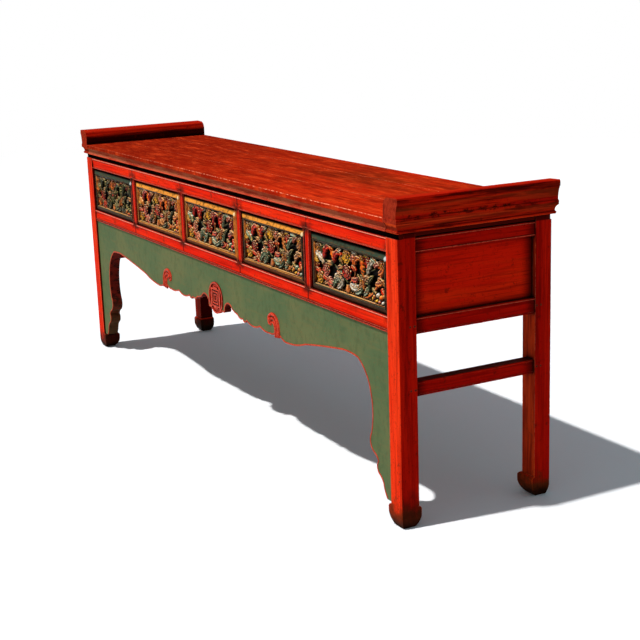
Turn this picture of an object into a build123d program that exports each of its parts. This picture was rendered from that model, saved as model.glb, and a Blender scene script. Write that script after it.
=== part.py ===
"""Long altar table with five carved drawers, everted ends and hoof feet.

Millimetres. X runs along the table, the front faces -Y, Z is up, and the origin
is on the floor under the middle of the table.
"""

import os

from build123d import *

os.makedirs("parts", exist_ok=True)

# ---------------------------------------------------------------- frame
frame_length = 2460.0      # over the outer faces of the legs, along X
frame_depth = 512.0        # over the front and back faces of the legs, along Y
leg_height = 820.0         # floor to the shoulder that carries the waist
leg_width = 58.0           # leg section along X
leg_depth = 56.0           # leg section along Y
leg_rounding = 2.5         # worn arris of the leg's outer corner

hoof_height = 62.0         # floor to the crease above the hoof
hoof_bulge_x = 14.0        # how far the hoof swells inwards along X
hoof_bulge_y = 8.0         # how far it swells inwards along Y
hoof_widest = 46.0         # height of the widest point of the hoof
hoof_toe = 8.0             # how far the outer faces curl in at the floor
hoof_toe_height = 44.0
hoof_sole_cut = 10.0       # how far the inner faces curl in at the floor

# ---------------------------------------------------------------- rails
upper_rail_height = 42.0
lower_rail_height = 46.0
lower_rail_low = 555.0     # underside of the lower rails
rail_depth = 34.0
rail_setback = 2.0         # bead tops of the rails behind the leg faces
bead_width = 5.0
bead_rise = 1.6
stretcher_low = 378.0
stretcher_height = 41.0
stretcher_setback = 6.0
stretcher_depth = 36.0

# ---------------------------------------------------------------- joints
joint_fit = 0.2            # clearance round a tenon, tongue or panel edge
tenon_thick = 14.0
tenon_shoulder = 8.0       # shoulder above and below a rail tenon
tenon_tip_gap = 1.0        # air at the bottom of a mortise
tenon_wall = 4.0           # wood left between two tenons that meet in a leg
stub_tenon = 10.0          # length of short tenons on stiles, runners and guides
peg_radius = 3.0
peg_length = 34.0
peg_spacing = 14.0
peg_fit = 0.15

# ---------------------------------------------------------------- bays
bay_count = 5
stile_width = 36.0
stile_depth = 30.0
stile_crown = 4.0          # rise of the rounded stile face
back_bay_count = 3
end_panel_thick = 10.0
end_panel_recess = 12.0    # end panel face behind the rail field
panel_tongue = 6.0         # how far a panel edge enters its groove

# ---------------------------------------------------------------- waist and top
waist_height = 16.0
waist_setback = 5.0        # front and back waist faces behind the leg faces
waist_end_setback = 4.0    # end waist faces behind the leg faces
waist_end_gap = 3.0        # open shadow line under the end waist strips
waist_thick = 14.0
top_thick = 39.0
top_overhang_front = 13.0
top_overhang_end = 15.0
top_arris = 1.5            # worn rounding of the top's upper edge
top_band = 12.0            # flat band under the arris of the top
top_bead = 9.0             # height of the bead along the underside
top_bead_in = 5.0          # crown of the bead behind the band
top_cove = 8.0             # depth of the cove between band and bead
top_front_board = 168.0    # widths of the planks of the top
top_back_board = 162.0
leg_top_tenon = 20.0       # side of the square tenon on top of a leg
leg_top_tenon_in_top = 20.0
batten_count = 3
batten_width = 60.0
batten_key = 8.0           # height of the dovetail key let into the top
batten_key_flare = 4.0

# ---------------------------------------------------------------- everted ends
flange_rise = 58.0         # lip of the everted end above the top
flange_lip_overhang = 22.0 # lip beyond the outer leg faces
flange_width = 72.0        # inner face to lip
flange_waist_in = 10.0     # how far the outer face steps in above the moulding
flange_nose = 19.0         # height of the rounded nose of the lip
flange_quirk = 3.0         # how far the face under the nose steps in
flange_face_in = 1.0       # front face of the everted end behind the top's band
flange_shoulder = 27.0     # run of the rolled inner shoulder
flange_fall = 1.5          # fall of the flat top towards the shoulder
lip_round = 6.0            # rounding of the outer lip
end_tongue = 12.0
end_tongue_thick = 12.0

# ---------------------------------------------------------------- apron
apron_thick = 24.0
apron_setback = 7.0        # apron face behind the leg faces
apron_crest = 448.0        # height of the arch beside each leg
apron_low = 391.0          # lowest point of the shoulders
apron_eyelet = 434.0       # top of the small arch beside the roundel
apron_volute = 401.0       # bottom of the small volute beside the roundel
apron_lobe = 395.0         # bottom of the small lobes
apron_cusp = 405.0         # cusps between the lobes
motif_shift = 24.0         # the carved motif sits a little right of the middle
seam_from_motif = 413.0    # joint lines of the apron boards
spandrel_thick = 42.0
spandrel_width = 177.0     # spandrel measured from the leg at its top
spandrel_foot_gap = 1.0    # spandrel foot above the crease of the hoof

roundel_diameter = 112.0
roundel_centre = 441.0
roundel_thick = 12.0
roundel_backing = 6.0      # apron behind the roundel is smaller by this all round
roundel_proud = 4.0
roundel_line = 5.0         # width of the raised fret lines
roundel_relief = 4.0
scroll_proud = 5.0

# ---------------------------------------------------------------- drawers
drawer_side_gap = 2.5
drawer_top_gap = 8.0
drawer_rail_gap = 1.5      # under the drawer front
run_gap = 0.3              # between the drawer and its runner
drawer_recess = 9.0        # outer edge of the drawer front behind the rail face
drawer_front_thick = 22.0
border_width = 14.0
border_rise = 6.5
border_lip = 3.0
field_depth = 15.0
drawer_back_gap = 23.0     # between the drawer's back and the back rails
drawer_side_height = 118.0
drawer_side_thick = 10.0
drawer_bottom_thick = 6.0
drawer_bottom_lift = 8.0
drawer_groove = 4.0
carving_set_back = 1.0     # carving face behind the lip of the border
carving_fit = 0.4
carving_rim = 3.0
stem_width = 5.0
leaf_length = 13.0         # half length of a leaf
leaf_width = 4.5           # half width of a leaf
leaf_angles = (35, 145, 215, 270, 325)
runner_height = 30.0
guide_height = 20.0
guide_fit = 1.0

# ---------------------------------------------------------------- derived places
half_length = frame_length / 2
half_depth = frame_depth / 2
leg_inner_x = half_length - leg_width
leg_inner_y = half_depth - leg_depth
lower_rail_top = lower_rail_low + lower_rail_height
upper_rail_low = leg_height - upper_rail_height
top_low = leg_height + waist_height
top_high = top_low + top_thick
flange_high = top_high + flange_rise
neck_outer_y = half_depth - waist_setback - waist_thick - joint_fit
rail_axis = rail_setback + rail_depth / 2
tenon_length = min(leg_width, leg_depth) - rail_axis - tenon_thick / 2 - tenon_wall
stile_pitch = (2 * leg_inner_x + stile_width) / bay_count
bay_width = stile_pitch - stile_width
stile_places = [stile_pitch * (i + 1 - bay_count / 2) for i in range(bay_count - 1)]
bay_places = [stile_pitch * (i + 0.5 - bay_count / 2) for i in range(bay_count)]
back_pitch = (2 * leg_inner_x + stile_width) / back_bay_count
back_bay = back_pitch - stile_width
back_stile_places = [back_pitch * (i + 1 - back_bay_count / 2) for i in range(back_bay_count - 1)]
back_bay_places = [back_pitch * (i + 0.5 - back_bay_count / 2) for i in range(back_bay_count)]
sides = {"left": -1, "right": 1}
faces = {"front": -1, "back": 1}


def slab(x_range, y_range, z_range, mode=Mode.ADD):
    """A box between two planes on each axis, given in either order."""
    size = [abs(r[1] - r[0]) for r in (x_range, y_range, z_range)]
    middle = [(r[0] + r[1]) / 2 for r in (x_range, y_range, z_range)]
    with Locations(tuple(middle)):
        Box(*size, mode=mode)


def save(part, name):
    """Label a finished piece and write it to its own file."""
    part.label = name
    export_step(part, f"parts/{name}.step")


# ================================================================ legs
def hoof_profile(width, bulge):
    """Leg outline from the outer face (0) inwards, with the hoof at its foot."""
    Polyline((0, hoof_toe_height), (0, leg_height), (width, leg_height), (width, hoof_height))
    ThreePointArc(
        (width, hoof_height),
        (width + 0.8 * bulge, hoof_height - 0.3 * (hoof_height - hoof_widest)),
        (width + bulge, hoof_widest),
    )
    ThreePointArc(
        (width + bulge, hoof_widest),
        (width + 0.6 * bulge, 0.45 * hoof_widest),
        (width - hoof_sole_cut, 0),
    )
    Line((width - hoof_sole_cut, 0), (hoof_toe, 0))
    ThreePointArc((hoof_toe, 0), (0.3 * hoof_toe, 0.4 * hoof_toe_height), (0, hoof_toe_height))


def rounded_corner(width, depth, radius):
    """Rectangle from its own corner outwards, with that corner rounded."""
    Polyline((radius, 0), (width, 0), (width, depth), (0, depth), (0, radius))
    ThreePointArc((0, radius), (0.293 * radius, 0.293 * radius), (radius, 0))


def rail_mortises(side, face):
    """Mortises for the long rails, the end rails and the stretcher in one leg."""
    rails = [
        (lower_rail_low, lower_rail_top),
        (upper_rail_low, leg_height),
    ]
    depth = tenon_length + tenon_tip_gap
    half = tenon_thick / 2 + joint_fit
    x_reach = (side * leg_inner_x, side * (leg_inner_x + depth))
    y_reach = (face * leg_inner_y, face * (leg_inner_y + depth))
    axis_y = face * (half_depth - rail_axis)
    axis_x = side * (half_length - rail_axis)
    for low, high in rails:
        z_range = (low + tenon_shoulder - joint_fit, high - tenon_shoulder + joint_fit)
        slab(x_reach, (axis_y - half, axis_y + half), z_range, Mode.SUBTRACT)
        slab((axis_x - half, axis_x + half), y_reach, z_range, Mode.SUBTRACT)
    z_range = (
        stretcher_low + tenon_shoulder - joint_fit,
        stretcher_low + stretcher_height - tenon_shoulder + joint_fit,
    )
    axis_x = side * (half_length - stretcher_setback - stretcher_depth / 2)
    slab((axis_x - half, axis_x + half), y_reach, z_range, Mode.SUBTRACT)


def peg_places(side, face):
    """Centres of the wooden pegs in one leg: two in the end rail, two in the stretcher."""
    middle_y = face * (leg_inner_y + tenon_length / 2)
    heights = (lower_rail_low + lower_rail_height / 2, stretcher_low + stretcher_height / 2)
    offsets = (-peg_spacing / 2, peg_spacing / 2)
    return [(side * (half_length - peg_length / 2), middle_y + dy, z) for z in heights for dy in offsets]


def panel_groove_x():
    """Outer face and inner face of the end panels, measured from the middle."""
    outer = half_length - rail_setback - bead_rise - end_panel_recess
    return outer - end_panel_thick, outer


def back_panel_y():
    """Inner face and outer face of the back panels."""
    outer = half_depth - rail_setback - bead_rise - end_panel_recess
    return outer - end_panel_thick, outer


def top_tenon_ranges(side, face, grow):
    """Plan of the square tenon in the middle of a leg's neck, grown all round."""
    half = leg_top_tenon / 2 + grow
    x = side * (half_length - leg_width / 2)
    y = face * (leg_inner_y + neck_outer_y) / 2
    return (x - half, x + half), (y - half, y + half)


def make_leg(side, face):
    """One leg with its hoof, rail mortises, panel grooves, neck and top tenon."""
    plane_xz = Plane(origin=(side * half_length, 0, 0), x_dir=(-side, 0, 0), z_dir=(0, side, 0))
    plane_yz = Plane(origin=(0, face * half_depth, 0), x_dir=(0, -face, 0), z_dir=(-face, 0, 0))
    corner = (side * half_length, face * half_depth, 0)
    plane_xy = Plane(origin=corner, x_dir=(-side, 0, 0), z_dir=(0, 0, side * face))
    with BuildPart() as leg:
        with BuildSketch(plane_xz):
            with BuildLine():
                hoof_profile(leg_width, hoof_bulge_x)
            make_face()
        extrude(amount=frame_depth, both=True)
        with BuildSketch(plane_yz):
            with BuildLine():
                hoof_profile(leg_depth, hoof_bulge_y)
            make_face()
        extrude(amount=frame_length, both=True, mode=Mode.INTERSECT)
        with BuildSketch(plane_xy):
            with BuildLine():
                rounded_corner(leg_width + hoof_bulge_x, leg_depth + hoof_bulge_y, leg_rounding)
            make_face()
        extrude(amount=leg_height, both=True, mode=Mode.INTERSECT)
        slab(
            (side * leg_inner_x, side * half_length),
            (face * leg_inner_y, face * neck_outer_y),
            (leg_height, top_low),
        )
        x_range, y_range = top_tenon_ranges(side, face, 0)
        slab(x_range, y_range, (top_low, top_low + leg_top_tenon_in_top))
        rail_mortises(side, face)
        groove_low = lower_rail_top - panel_tongue - joint_fit
        groove_high = upper_rail_low + panel_tongue + joint_fit
        inner, outer = panel_groove_x()
        slab(
            (side * (inner - joint_fit), side * (outer + joint_fit)),
            (face * leg_inner_y, face * (leg_inner_y + panel_tongue + joint_fit)),
            (groove_low, groove_high),
            Mode.SUBTRACT,
        )
        if face > 0:
            inner, outer = back_panel_y()
            slab(
                (side * leg_inner_x, side * (leg_inner_x + panel_tongue + joint_fit)),
                (inner - joint_fit, outer + joint_fit),
                (groove_low, groove_high),
                Mode.SUBTRACT,
            )
        for place in peg_places(side, face):
            with Locations(Location(place, (0, 90, 0))):
                Cylinder(peg_radius + peg_fit, peg_length, mode=Mode.SUBTRACT)
    return leg.part


for face_name, face in faces.items():
    for side_name, side in sides.items():
        save(make_leg(side, face), f"leg_{face_name}_{side_name}")


# ================================================================ rails
def rail_section(low, high, depth=rail_depth):
    """Rail section: depth outwards on the first axis, height on the second, beads on the face."""
    face = depth / 2
    field = face - bead_rise
    Polyline((-face, low), (-face, high), (field, high))
    ThreePointArc((field, high), (face, high - bead_width / 2), (field, high - bead_width))
    Line((field, high - bead_width), (field, low + bead_width))
    ThreePointArc((field, low + bead_width), (face, low + bead_width / 2), (field, low))
    Line((field, low), (-face, low))


def make_long_rail(face, low, high, extra_cuts):
    """A front or back rail with a tenon at each end."""
    axis_y = face * (half_depth - rail_axis)
    section = Plane(origin=(0, axis_y, 0), x_dir=(0, face, 0), z_dir=(face, 0, 0))
    with BuildPart() as rail:
        with BuildSketch(section):
            with BuildLine():
                rail_section(low, high)
            make_face()
        extrude(amount=leg_inner_x, both=True)
        reach = leg_inner_x + tenon_length
        half = tenon_thick / 2
        slab((-reach, reach), (axis_y - half, axis_y + half), (low + tenon_shoulder, high - tenon_shoulder))
        extra_cuts(face, axis_y)
    return rail.part


def stile_mortises(places, z_face, up, axis_y):
    """Mortises for the stiles in the edge of a long rail; up is the way the mortise goes."""
    half_width = stile_width / 2 - tenon_shoulder + joint_fit
    half = tenon_thick / 2 + joint_fit
    deep = z_face + up * (stub_tenon + tenon_tip_gap)
    for x in places:
        slab((x - half_width, x + half_width), (axis_y - half, axis_y + half), (z_face, deep), Mode.SUBTRACT)


def back_panel_grooves(z_face, up):
    """Grooves for the back panels in the edge of a back rail."""
    inner, outer = back_panel_y()
    deep = z_face + up * (panel_tongue + joint_fit)
    for x in back_bay_places:
        reach = back_bay / 2 + panel_tongue + joint_fit
        slab((x - reach, x + reach), (inner - joint_fit, outer + joint_fit), (z_face, deep), Mode.SUBTRACT)


def runner_mortises(face, axis_y):
    """Mortises for the drawer runners in the inner face of a lower rail."""
    inner_face = axis_y - face * rail_depth / 2
    deep = inner_face + face * (stub_tenon + tenon_tip_gap)
    for x, width in runner_list():
        half_width = width / 2 - tenon_shoulder + joint_fit
        z_range = (
            runner_top() - runner_height + tenon_shoulder - joint_fit,
            runner_top() - tenon_shoulder + joint_fit,
        )
        slab((x - half_width, x + half_width), (inner_face, deep), z_range, Mode.SUBTRACT)


def runner_top():
    """Height of the surface that the drawers slide on."""
    return lower_rail_top + drawer_rail_gap - run_gap


def runner_list():
    """Centre and width of each drawer runner: one at each end, one behind each stile."""
    width = stile_width + 2 * (drawer_side_gap + drawer_side_thick)
    end_width = drawer_side_gap + drawer_side_thick + joint_fit
    end_width = max(end_width, 2 * tenon_shoulder + stub_tenon)
    end_x = leg_inner_x - joint_fit - end_width / 2
    return [(-end_x, end_width)] + [(x, width) for x in stile_places] + [(end_x, end_width)]


def lower_rail_cuts(face, axis_y):
    """Everything let into a lower rail."""
    places = stile_places if face < 0 else back_stile_places
    stile_mortises(places, lower_rail_top, -1, axis_y)
    runner_mortises(face, axis_y)
    if face > 0:
        back_panel_grooves(lower_rail_top, -1)


def upper_rail_cuts(face, axis_y):
    """Everything let into an upper rail."""
    places = stile_places if face < 0 else back_stile_places
    stile_mortises(places, upper_rail_low, 1, axis_y)
    if face > 0:
        back_panel_grooves(upper_rail_low, 1)


for face_name, face in faces.items():
    save(make_long_rail(face, lower_rail_low, lower_rail_top, lower_rail_cuts), f"{face_name}_lower_rail")
    save(make_long_rail(face, upper_rail_low, leg_height, upper_rail_cuts), f"{face_name}_upper_rail")


def make_end_rail(side, low, high, setback, depth, groove):
    """An end rail or stretcher with a tenon at each end and perhaps a panel groove."""
    axis_x = side * (half_length - setback - depth / 2)
    section = Plane(origin=(axis_x, 0, 0), x_dir=(side, 0, 0), z_dir=(0, -side, 0))
    with BuildPart() as rail:
        with BuildSketch(section):
            with BuildLine():
                rail_section(low, high, depth)
            make_face()
        extrude(amount=leg_inner_y, both=True)
        reach = leg_inner_y + tenon_length
        half = tenon_thick / 2
        slab((axis_x - half, axis_x + half), (-reach, reach), (low + tenon_shoulder, high - tenon_shoulder))
        if groove:
            z_face = high if groove < 0 else low
            inner, outer = panel_groove_x()
            slab(
                (side * (inner - joint_fit), side * (outer + joint_fit)),
                (-leg_inner_y, leg_inner_y),
                (z_face, z_face + groove * (panel_tongue + joint_fit)),
                Mode.SUBTRACT,
            )
        for face in faces.values():
            for place in peg_places(side, face):
                with Locations(Location(place, (0, 90, 0))):
                    Cylinder(peg_radius + peg_fit, peg_length, mode=Mode.SUBTRACT)
    return rail.part


for side_name, side in sides.items():
    lower = make_end_rail(side, lower_rail_low, lower_rail_top, rail_setback, rail_depth, -1)
    upper = make_end_rail(side, upper_rail_low, leg_height, rail_setback, rail_depth, 1)
    stretcher_high = stretcher_low + stretcher_height
    stretcher = make_end_rail(side, stretcher_low, stretcher_high, stretcher_setback, stretcher_depth, 0)
    save(lower, f"end_lower_rail_{side_name}")
    save(upper, f"end_upper_rail_{side_name}")
    save(stretcher, f"stretcher_{side_name}")

with BuildPart() as tenon_pegs:
    for face in faces.values():
        for side in sides.values():
            for place in peg_places(side, face):
                with Locations(Location(place, (0, 90, 0))):
                    Cylinder(peg_radius, peg_length)
save(tenon_pegs.part, "tenon_pegs")


# ================================================================ stiles and panels
def make_stile(x, face, grooves=False):
    """One stile with a rounded face, a stub tenon at each end and perhaps panel grooves."""
    axis_y = face * (half_depth - rail_axis)
    section = Plane(origin=(x, axis_y, lower_rail_top), x_dir=(1, 0, 0), z_dir=(0, 0, 1))
    half = stile_width / 2
    back = -face * stile_depth / 2
    shoulder = face * (stile_depth / 2 - stile_crown)
    crown = face * stile_depth / 2
    with BuildPart() as stile:
        with BuildSketch(section):
            with BuildLine():
                Polyline((-half, shoulder), (-half, back), (half, back), (half, shoulder))
                ThreePointArc((half, shoulder), (0, crown), (-half, shoulder))
            make_face()
        extrude(amount=upper_rail_low - lower_rail_top)
        tenon = tenon_thick / 2
        reach = stile_width / 2 - tenon_shoulder
        slab(
            (x - reach, x + reach),
            (axis_y - tenon, axis_y + tenon),
            (lower_rail_top - stub_tenon, upper_rail_low + stub_tenon),
        )
        if grooves:
            inner, outer = back_panel_y()
            for way in (-1, 1):
                edge = x + way * stile_width / 2
                slab(
                    (edge, edge - way * (panel_tongue + joint_fit)),
                    (inner - joint_fit, outer + joint_fit),
                    (lower_rail_top - panel_tongue, upper_rail_low + panel_tongue),
                    Mode.SUBTRACT,
                )
    return stile.part


for i, x in enumerate(stile_places):
    save(make_stile(x, faces["front"]), f"stile_{i + 1}")

back_stile_parts = [make_stile(x, faces["back"], grooves=True) for x in back_stile_places]
with BuildPart() as back_stiles:
    add(back_stile_parts)
save(back_stiles.part, "back_stiles")

inner_y, outer_y = back_panel_y()
panel_z = (lower_rail_top - panel_tongue, upper_rail_low + panel_tongue)
with BuildPart() as back_panels:
    for x in back_bay_places:
        reach = back_bay / 2 + panel_tongue
        slab((x - reach, x + reach), (inner_y, outer_y), panel_z)
save(back_panels.part, "back_panels")

inner_x, outer_x = panel_groove_x()
for side_name, side in sides.items():
    with BuildPart() as end_panel:
        reach = leg_inner_y + panel_tongue
        slab((side * inner_x, side * outer_x), (-reach, reach), panel_z)
    save(end_panel.part, f"end_panel_{side_name}")


# ================================================================ drawer runners and guides
runner_y = half_depth - rail_setback - rail_depth
with BuildPart() as drawer_runners:
    for x, width in runner_list():
        z_range = (runner_top() - runner_height, runner_top())
        slab((x - width / 2, x + width / 2), (-runner_y, runner_y), z_range)
        reach = width / 2 - tenon_shoulder
        slab(
            (x - reach, x + reach),
            (-runner_y - stub_tenon, runner_y + stub_tenon),
            (runner_top() - runner_height + tenon_shoulder, runner_top() - tenon_shoulder),
        )
save(drawer_runners.part, "drawer_runners")

guide_width = stile_width + 2 * drawer_side_gap - 2 * guide_fit
guide_front = -(half_depth - rail_axis - stile_depth / 2)
guide_back = half_depth - rail_axis - max(stile_depth, rail_depth) / 2
with BuildPart() as drawer_guides:
    for x in stile_places:
        slab(
            (x - guide_width / 2, x + guide_width / 2),
            (guide_front, guide_back),
            (runner_top(), runner_top() + guide_height),
        )
save(drawer_guides.part, "drawer_guides")

# ================================================================ waist
waist_y = half_depth - waist_setback
waist_x = half_length - waist_end_setback
with BuildPart() as waist_strips:
    for face in faces.values():
        y_range = (face * waist_y, face * (waist_y - waist_thick))
        slab((-half_length, half_length), y_range, (leg_height, top_low))
    for side in sides.values():
        reach = leg_inner_y - joint_fit
        x_range = (side * waist_x, side * (waist_x - waist_thick))
        slab(x_range, (-reach, reach), (leg_height + waist_end_gap, top_low))
save(waist_strips.part, "waist_strips")


# ================================================================ top
bead_high = top_low + top_bead
band_low = top_high - top_band


def arcs(points):
    """Arcs through every three points in turn, sharing their ends."""
    for i in range(0, len(points) - 2, 2):
        ThreePointArc(points[i], points[i + 1], points[i + 2])


def cove_and_bead(reach):
    """Points of the cove under the band and the bead under the cove, from the band down."""
    root = reach - top_cove
    return [
        (reach, band_low),
        (root + 0.3 * top_cove, band_low - 0.35 * (band_low - bead_high)),
        (root, bead_high),
        (reach - top_bead_in, (top_low + bead_high) / 2),
        (root, top_low),
    ]


def moulding_outline(reach):
    """Section of the top across its front and back edge mouldings."""
    edge = [
        (reach - top_arris, top_high),
        (reach - 0.29 * top_arris, top_high - 0.29 * top_arris),
        (reach, top_high - top_arris),
    ]
    for way in (1, -1):
        ThreePointArc(*[(way * y, z) for y, z in edge])
        Line((way * reach, top_high - top_arris), (way * reach, band_low))
        arcs([(way * y, z) for y, z in cove_and_bead(reach)])
    Line((-(reach - top_cove), top_low), (reach - top_cove, top_low))
    Line((-(reach - top_arris), top_high), (reach - top_arris, top_high))


top_reach_y = half_depth + top_overhang_front
flange_outer = half_length + flange_lip_overhang
flange_inner = flange_outer - flange_width
board_edges = [-top_reach_y, -top_reach_y + top_front_board, top_reach_y - top_back_board, top_reach_y]
batten_pitch = 2 * flange_inner / (batten_count + 1)
batten_places = [batten_pitch * (i + 1) - flange_inner for i in range(batten_count)]
batten_reach = waist_y - waist_thick - joint_fit
tongue_low = (top_low + top_high - end_tongue_thick) / 2


def batten_key_outline(grow):
    """Dovetail key section of a batten, above the underside of the top."""
    low = batten_width / 2 - batten_key_flare + grow
    high = batten_width / 2 + grow
    Polyline(
        (-low, top_low),
        (low, top_low),
        (high, top_low + batten_key + grow),
        (-high, top_low + batten_key + grow),
        close=True,
    )


board_names = ["top_board_front", "top_board_middle", "top_board_back"]
for i, name in enumerate(board_names):
    with BuildPart() as board:
        with BuildSketch(Plane.YZ):
            with BuildLine():
                moulding_outline(top_reach_y)
            make_face()
        extrude(amount=flange_inner, both=True)
        slab(
            (-flange_inner - end_tongue, flange_inner + end_tongue),
            (-leg_inner_y, leg_inner_y),
            (tongue_low, tongue_low + end_tongue_thick),
        )
        slab(
            (-half_length, half_length),
            (board_edges[i], board_edges[i + 1]),
            (top_low, top_high),
            Mode.INTERSECT,
        )
        for x in batten_places:
            with BuildSketch(Plane(origin=(x, 0, 0), x_dir=(1, 0, 0), z_dir=(0, -1, 0))):
                with BuildLine():
                    batten_key_outline(joint_fit)
                make_face()
            extrude(amount=batten_reach + joint_fit, both=True, mode=Mode.SUBTRACT)
    save(board.part, name)

with BuildPart() as top_battens:
    for x in batten_places:
        x_range = (x - batten_width / 2, x + batten_width / 2)
        slab(x_range, (-batten_reach, batten_reach), (leg_height, top_low))
        with BuildSketch(Plane(origin=(x, 0, 0), x_dir=(1, 0, 0), z_dir=(0, -1, 0))):
            with BuildLine():
                batten_key_outline(0)
            make_face()
        extrude(amount=batten_reach, both=True)
save(top_battens.part, "top_battens")


def make_flange(side):
    """Everted end: the end cleat of the top and its upturned lip in one piece."""
    band = half_length + top_overhang_end
    outer_low = flange_outer - flange_waist_in
    nose_low = flange_high - flange_nose
    shoulder_low = flange_high - flange_shoulder
    shoulder_top = (flange_inner + flange_shoulder, flange_high - flange_fall)
    lip = (flange_outer - 0.15 * lip_round, flange_high - lip_round)
    lip_top = (flange_outer - lip_round, flange_high)
    section = Plane(origin=(0, 0, 0), x_dir=(side, 0, 0), z_dir=(0, -side, 0))
    with BuildPart() as flange:
        with BuildSketch(section):
            with BuildLine():
                Line((flange_inner, top_low), (band - top_cove, top_low))
                arcs(cove_and_bead(band))
                Polyline((band, band_low), (band, top_high), (outer_low, top_high + bead_rise))
                ThreePointArc(
                    (outer_low, top_high + bead_rise),
                    (outer_low + 0.3 * flange_waist_in, top_high + 0.45 * flange_rise),
                    (flange_outer - flange_quirk, nose_low),
                )
                Line((flange_outer - flange_quirk, nose_low), (flange_outer - 0.5 * flange_quirk, nose_low))
                ThreePointArc(
                    (flange_outer - 0.5 * flange_quirk, nose_low),
                    (flange_outer, flange_high - 0.6 * flange_nose),
                    lip,
                )
                ThreePointArc(lip, (flange_outer - 0.4 * lip_round, flange_high - 0.25 * lip_round), lip_top)
                Line(lip_top, shoulder_top)
                ThreePointArc(
                    shoulder_top,
                    (flange_inner + 0.3 * flange_shoulder, flange_high - 0.36 * flange_shoulder),
                    (flange_inner, shoulder_low),
                )
                Line((flange_inner, shoulder_low), (flange_inner, top_low))
            make_face()
        extrude(amount=top_reach_y, both=True)
        with BuildSketch(Plane.YZ):
            with BuildLine():
                moulding_outline(top_reach_y)
            make_face()
            with Locations((0, (top_high + flange_high) / 2)):
                Rectangle(2 * (top_reach_y - flange_face_in), flange_rise + 2 * top_arris)
        extrude(amount=2 * half_length, both=True, mode=Mode.INTERSECT)
        slab(
            (side * (flange_inner - 1), side * (flange_inner + end_tongue + tenon_tip_gap)),
            (-leg_inner_y - joint_fit, leg_inner_y + joint_fit),
            (tongue_low - joint_fit, tongue_low + end_tongue_thick + joint_fit),
            Mode.SUBTRACT,
        )
        for face in faces.values():
            x_range, y_range = top_tenon_ranges(side, face, joint_fit)
            deep = top_low + leg_top_tenon_in_top + tenon_tip_gap
            slab(x_range, y_range, (top_low, deep), Mode.SUBTRACT)
    return flange.part


for side_name, side in sides.items():
    save(make_flange(side), f"everted_end_{side_name}")


# ================================================================ apron
apron_face = -(half_depth - apron_setback)
apron_top = lower_rail_low
front_plane = Plane(origin=(0, apron_face, 0), x_dir=(1, 0, 0), z_dir=(0, -1, 0))
spandrel_joint = leg_inner_x - spandrel_width
spandrel_foot = hoof_height + spandrel_foot_gap


def motif_points(way):
    """Lower outline of the centre board, from the roundel out to the joint line."""
    radius = roundel_diameter / 2
    local = [
        (radius - 8, apron_volute + 2),
        (radius + 8, apron_volute),
        (radius + 10, apron_volute + 13),
        (radius + 30, apron_eyelet),
        (radius + 70, apron_eyelet - 11),
        (radius + 92, apron_cusp + 10),
        (radius + 112, apron_cusp + 7),
        (radius + 130, apron_cusp - 3),
        (radius + 152, apron_cusp),
        (radius + 168, apron_lobe + 1),
        (radius + 182, apron_cusp),
        (radius + 226, apron_lobe - 1),
        (radius + 282, apron_cusp),
        (radius + 322, apron_lobe + 1),
        (seam_from_motif, apron_lobe + 2),
    ]
    return [(motif_shift + way * u, z) for u, z in local]


with BuildPart() as apron_centre:
    with BuildSketch(front_plane):
        with BuildLine():
            left_points = motif_points(-1)
            right_points = motif_points(1)
            arcs(left_points)
            arcs(right_points)
            Line(left_points[0], right_points[0])
            Polyline(
                left_points[-1],
                (motif_shift - seam_from_motif, apron_top),
                (motif_shift + seam_from_motif, apron_top),
                right_points[-1],
            )
        make_face()
        with Locations((motif_shift, roundel_centre)):
            Circle(roundel_diameter / 2 - roundel_backing)
    extrude(amount=-apron_thick)
    with BuildSketch(front_plane):
        with Locations((motif_shift, roundel_centre)):
            Circle(roundel_diameter / 2 + joint_fit)
    extrude(amount=-(roundel_thick - roundel_proud), mode=Mode.SUBTRACT)
save(apron_centre.part, "apron_centre")


def sweep_points(side):
    """Lower outline of a side board: past the scroll, over the shoulder, up to the arch."""
    seam = motif_shift * side + seam_from_motif
    shoulder = seam + 128
    sweep = spandrel_joint - shoulder
    points = [
        (seam, apron_lobe + 2),
        (seam + 18, apron_lobe + 3),
        (seam + 33, apron_cusp + 1),
        (seam + 38, apron_cusp - 5),
        (seam + 66, apron_cusp + 1),
        (seam + 92, apron_low + 2),
        (shoulder, apron_low),
        (shoulder + 0.13 * sweep, apron_low + 6),
        (shoulder + 0.26 * sweep, apron_low + 21),
        (shoulder + 0.52 * sweep, apron_crest - 17),
        (shoulder + 0.8 * sweep, apron_crest),
        (shoulder + 0.91 * sweep, apron_crest + 1),
        (spandrel_joint, apron_crest - 4),
    ]
    return [(side * x, z) for x, z in points]


def spandrel_points(side):
    """Inner outline of a spandrel, from the arch down to its foot against the leg."""
    inner = leg_inner_x
    points = [
        (spandrel_joint, apron_crest - 4),
        (inner - 146, apron_crest - 27),
        (inner - 118, apron_crest - 68),
        (inner - 103, apron_crest - 136),
        (inner - 112, apron_crest - 208),
        (inner - 119, apron_crest - 240),
        (inner - 103, apron_crest - 264),
        (inner - 88, apron_crest - 272),
        (inner - 77, apron_crest - 284),
        (inner - 84, apron_crest - 300),
        (inner - 71, apron_crest - 324),
        (inner - 56, apron_crest - 336),
        (inner - 51, apron_crest - 343),
        (inner - 46, spandrel_foot + 25),
        (inner - 30, spandrel_foot),
    ]
    return [(side * x, z) for x, z in points]


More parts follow.
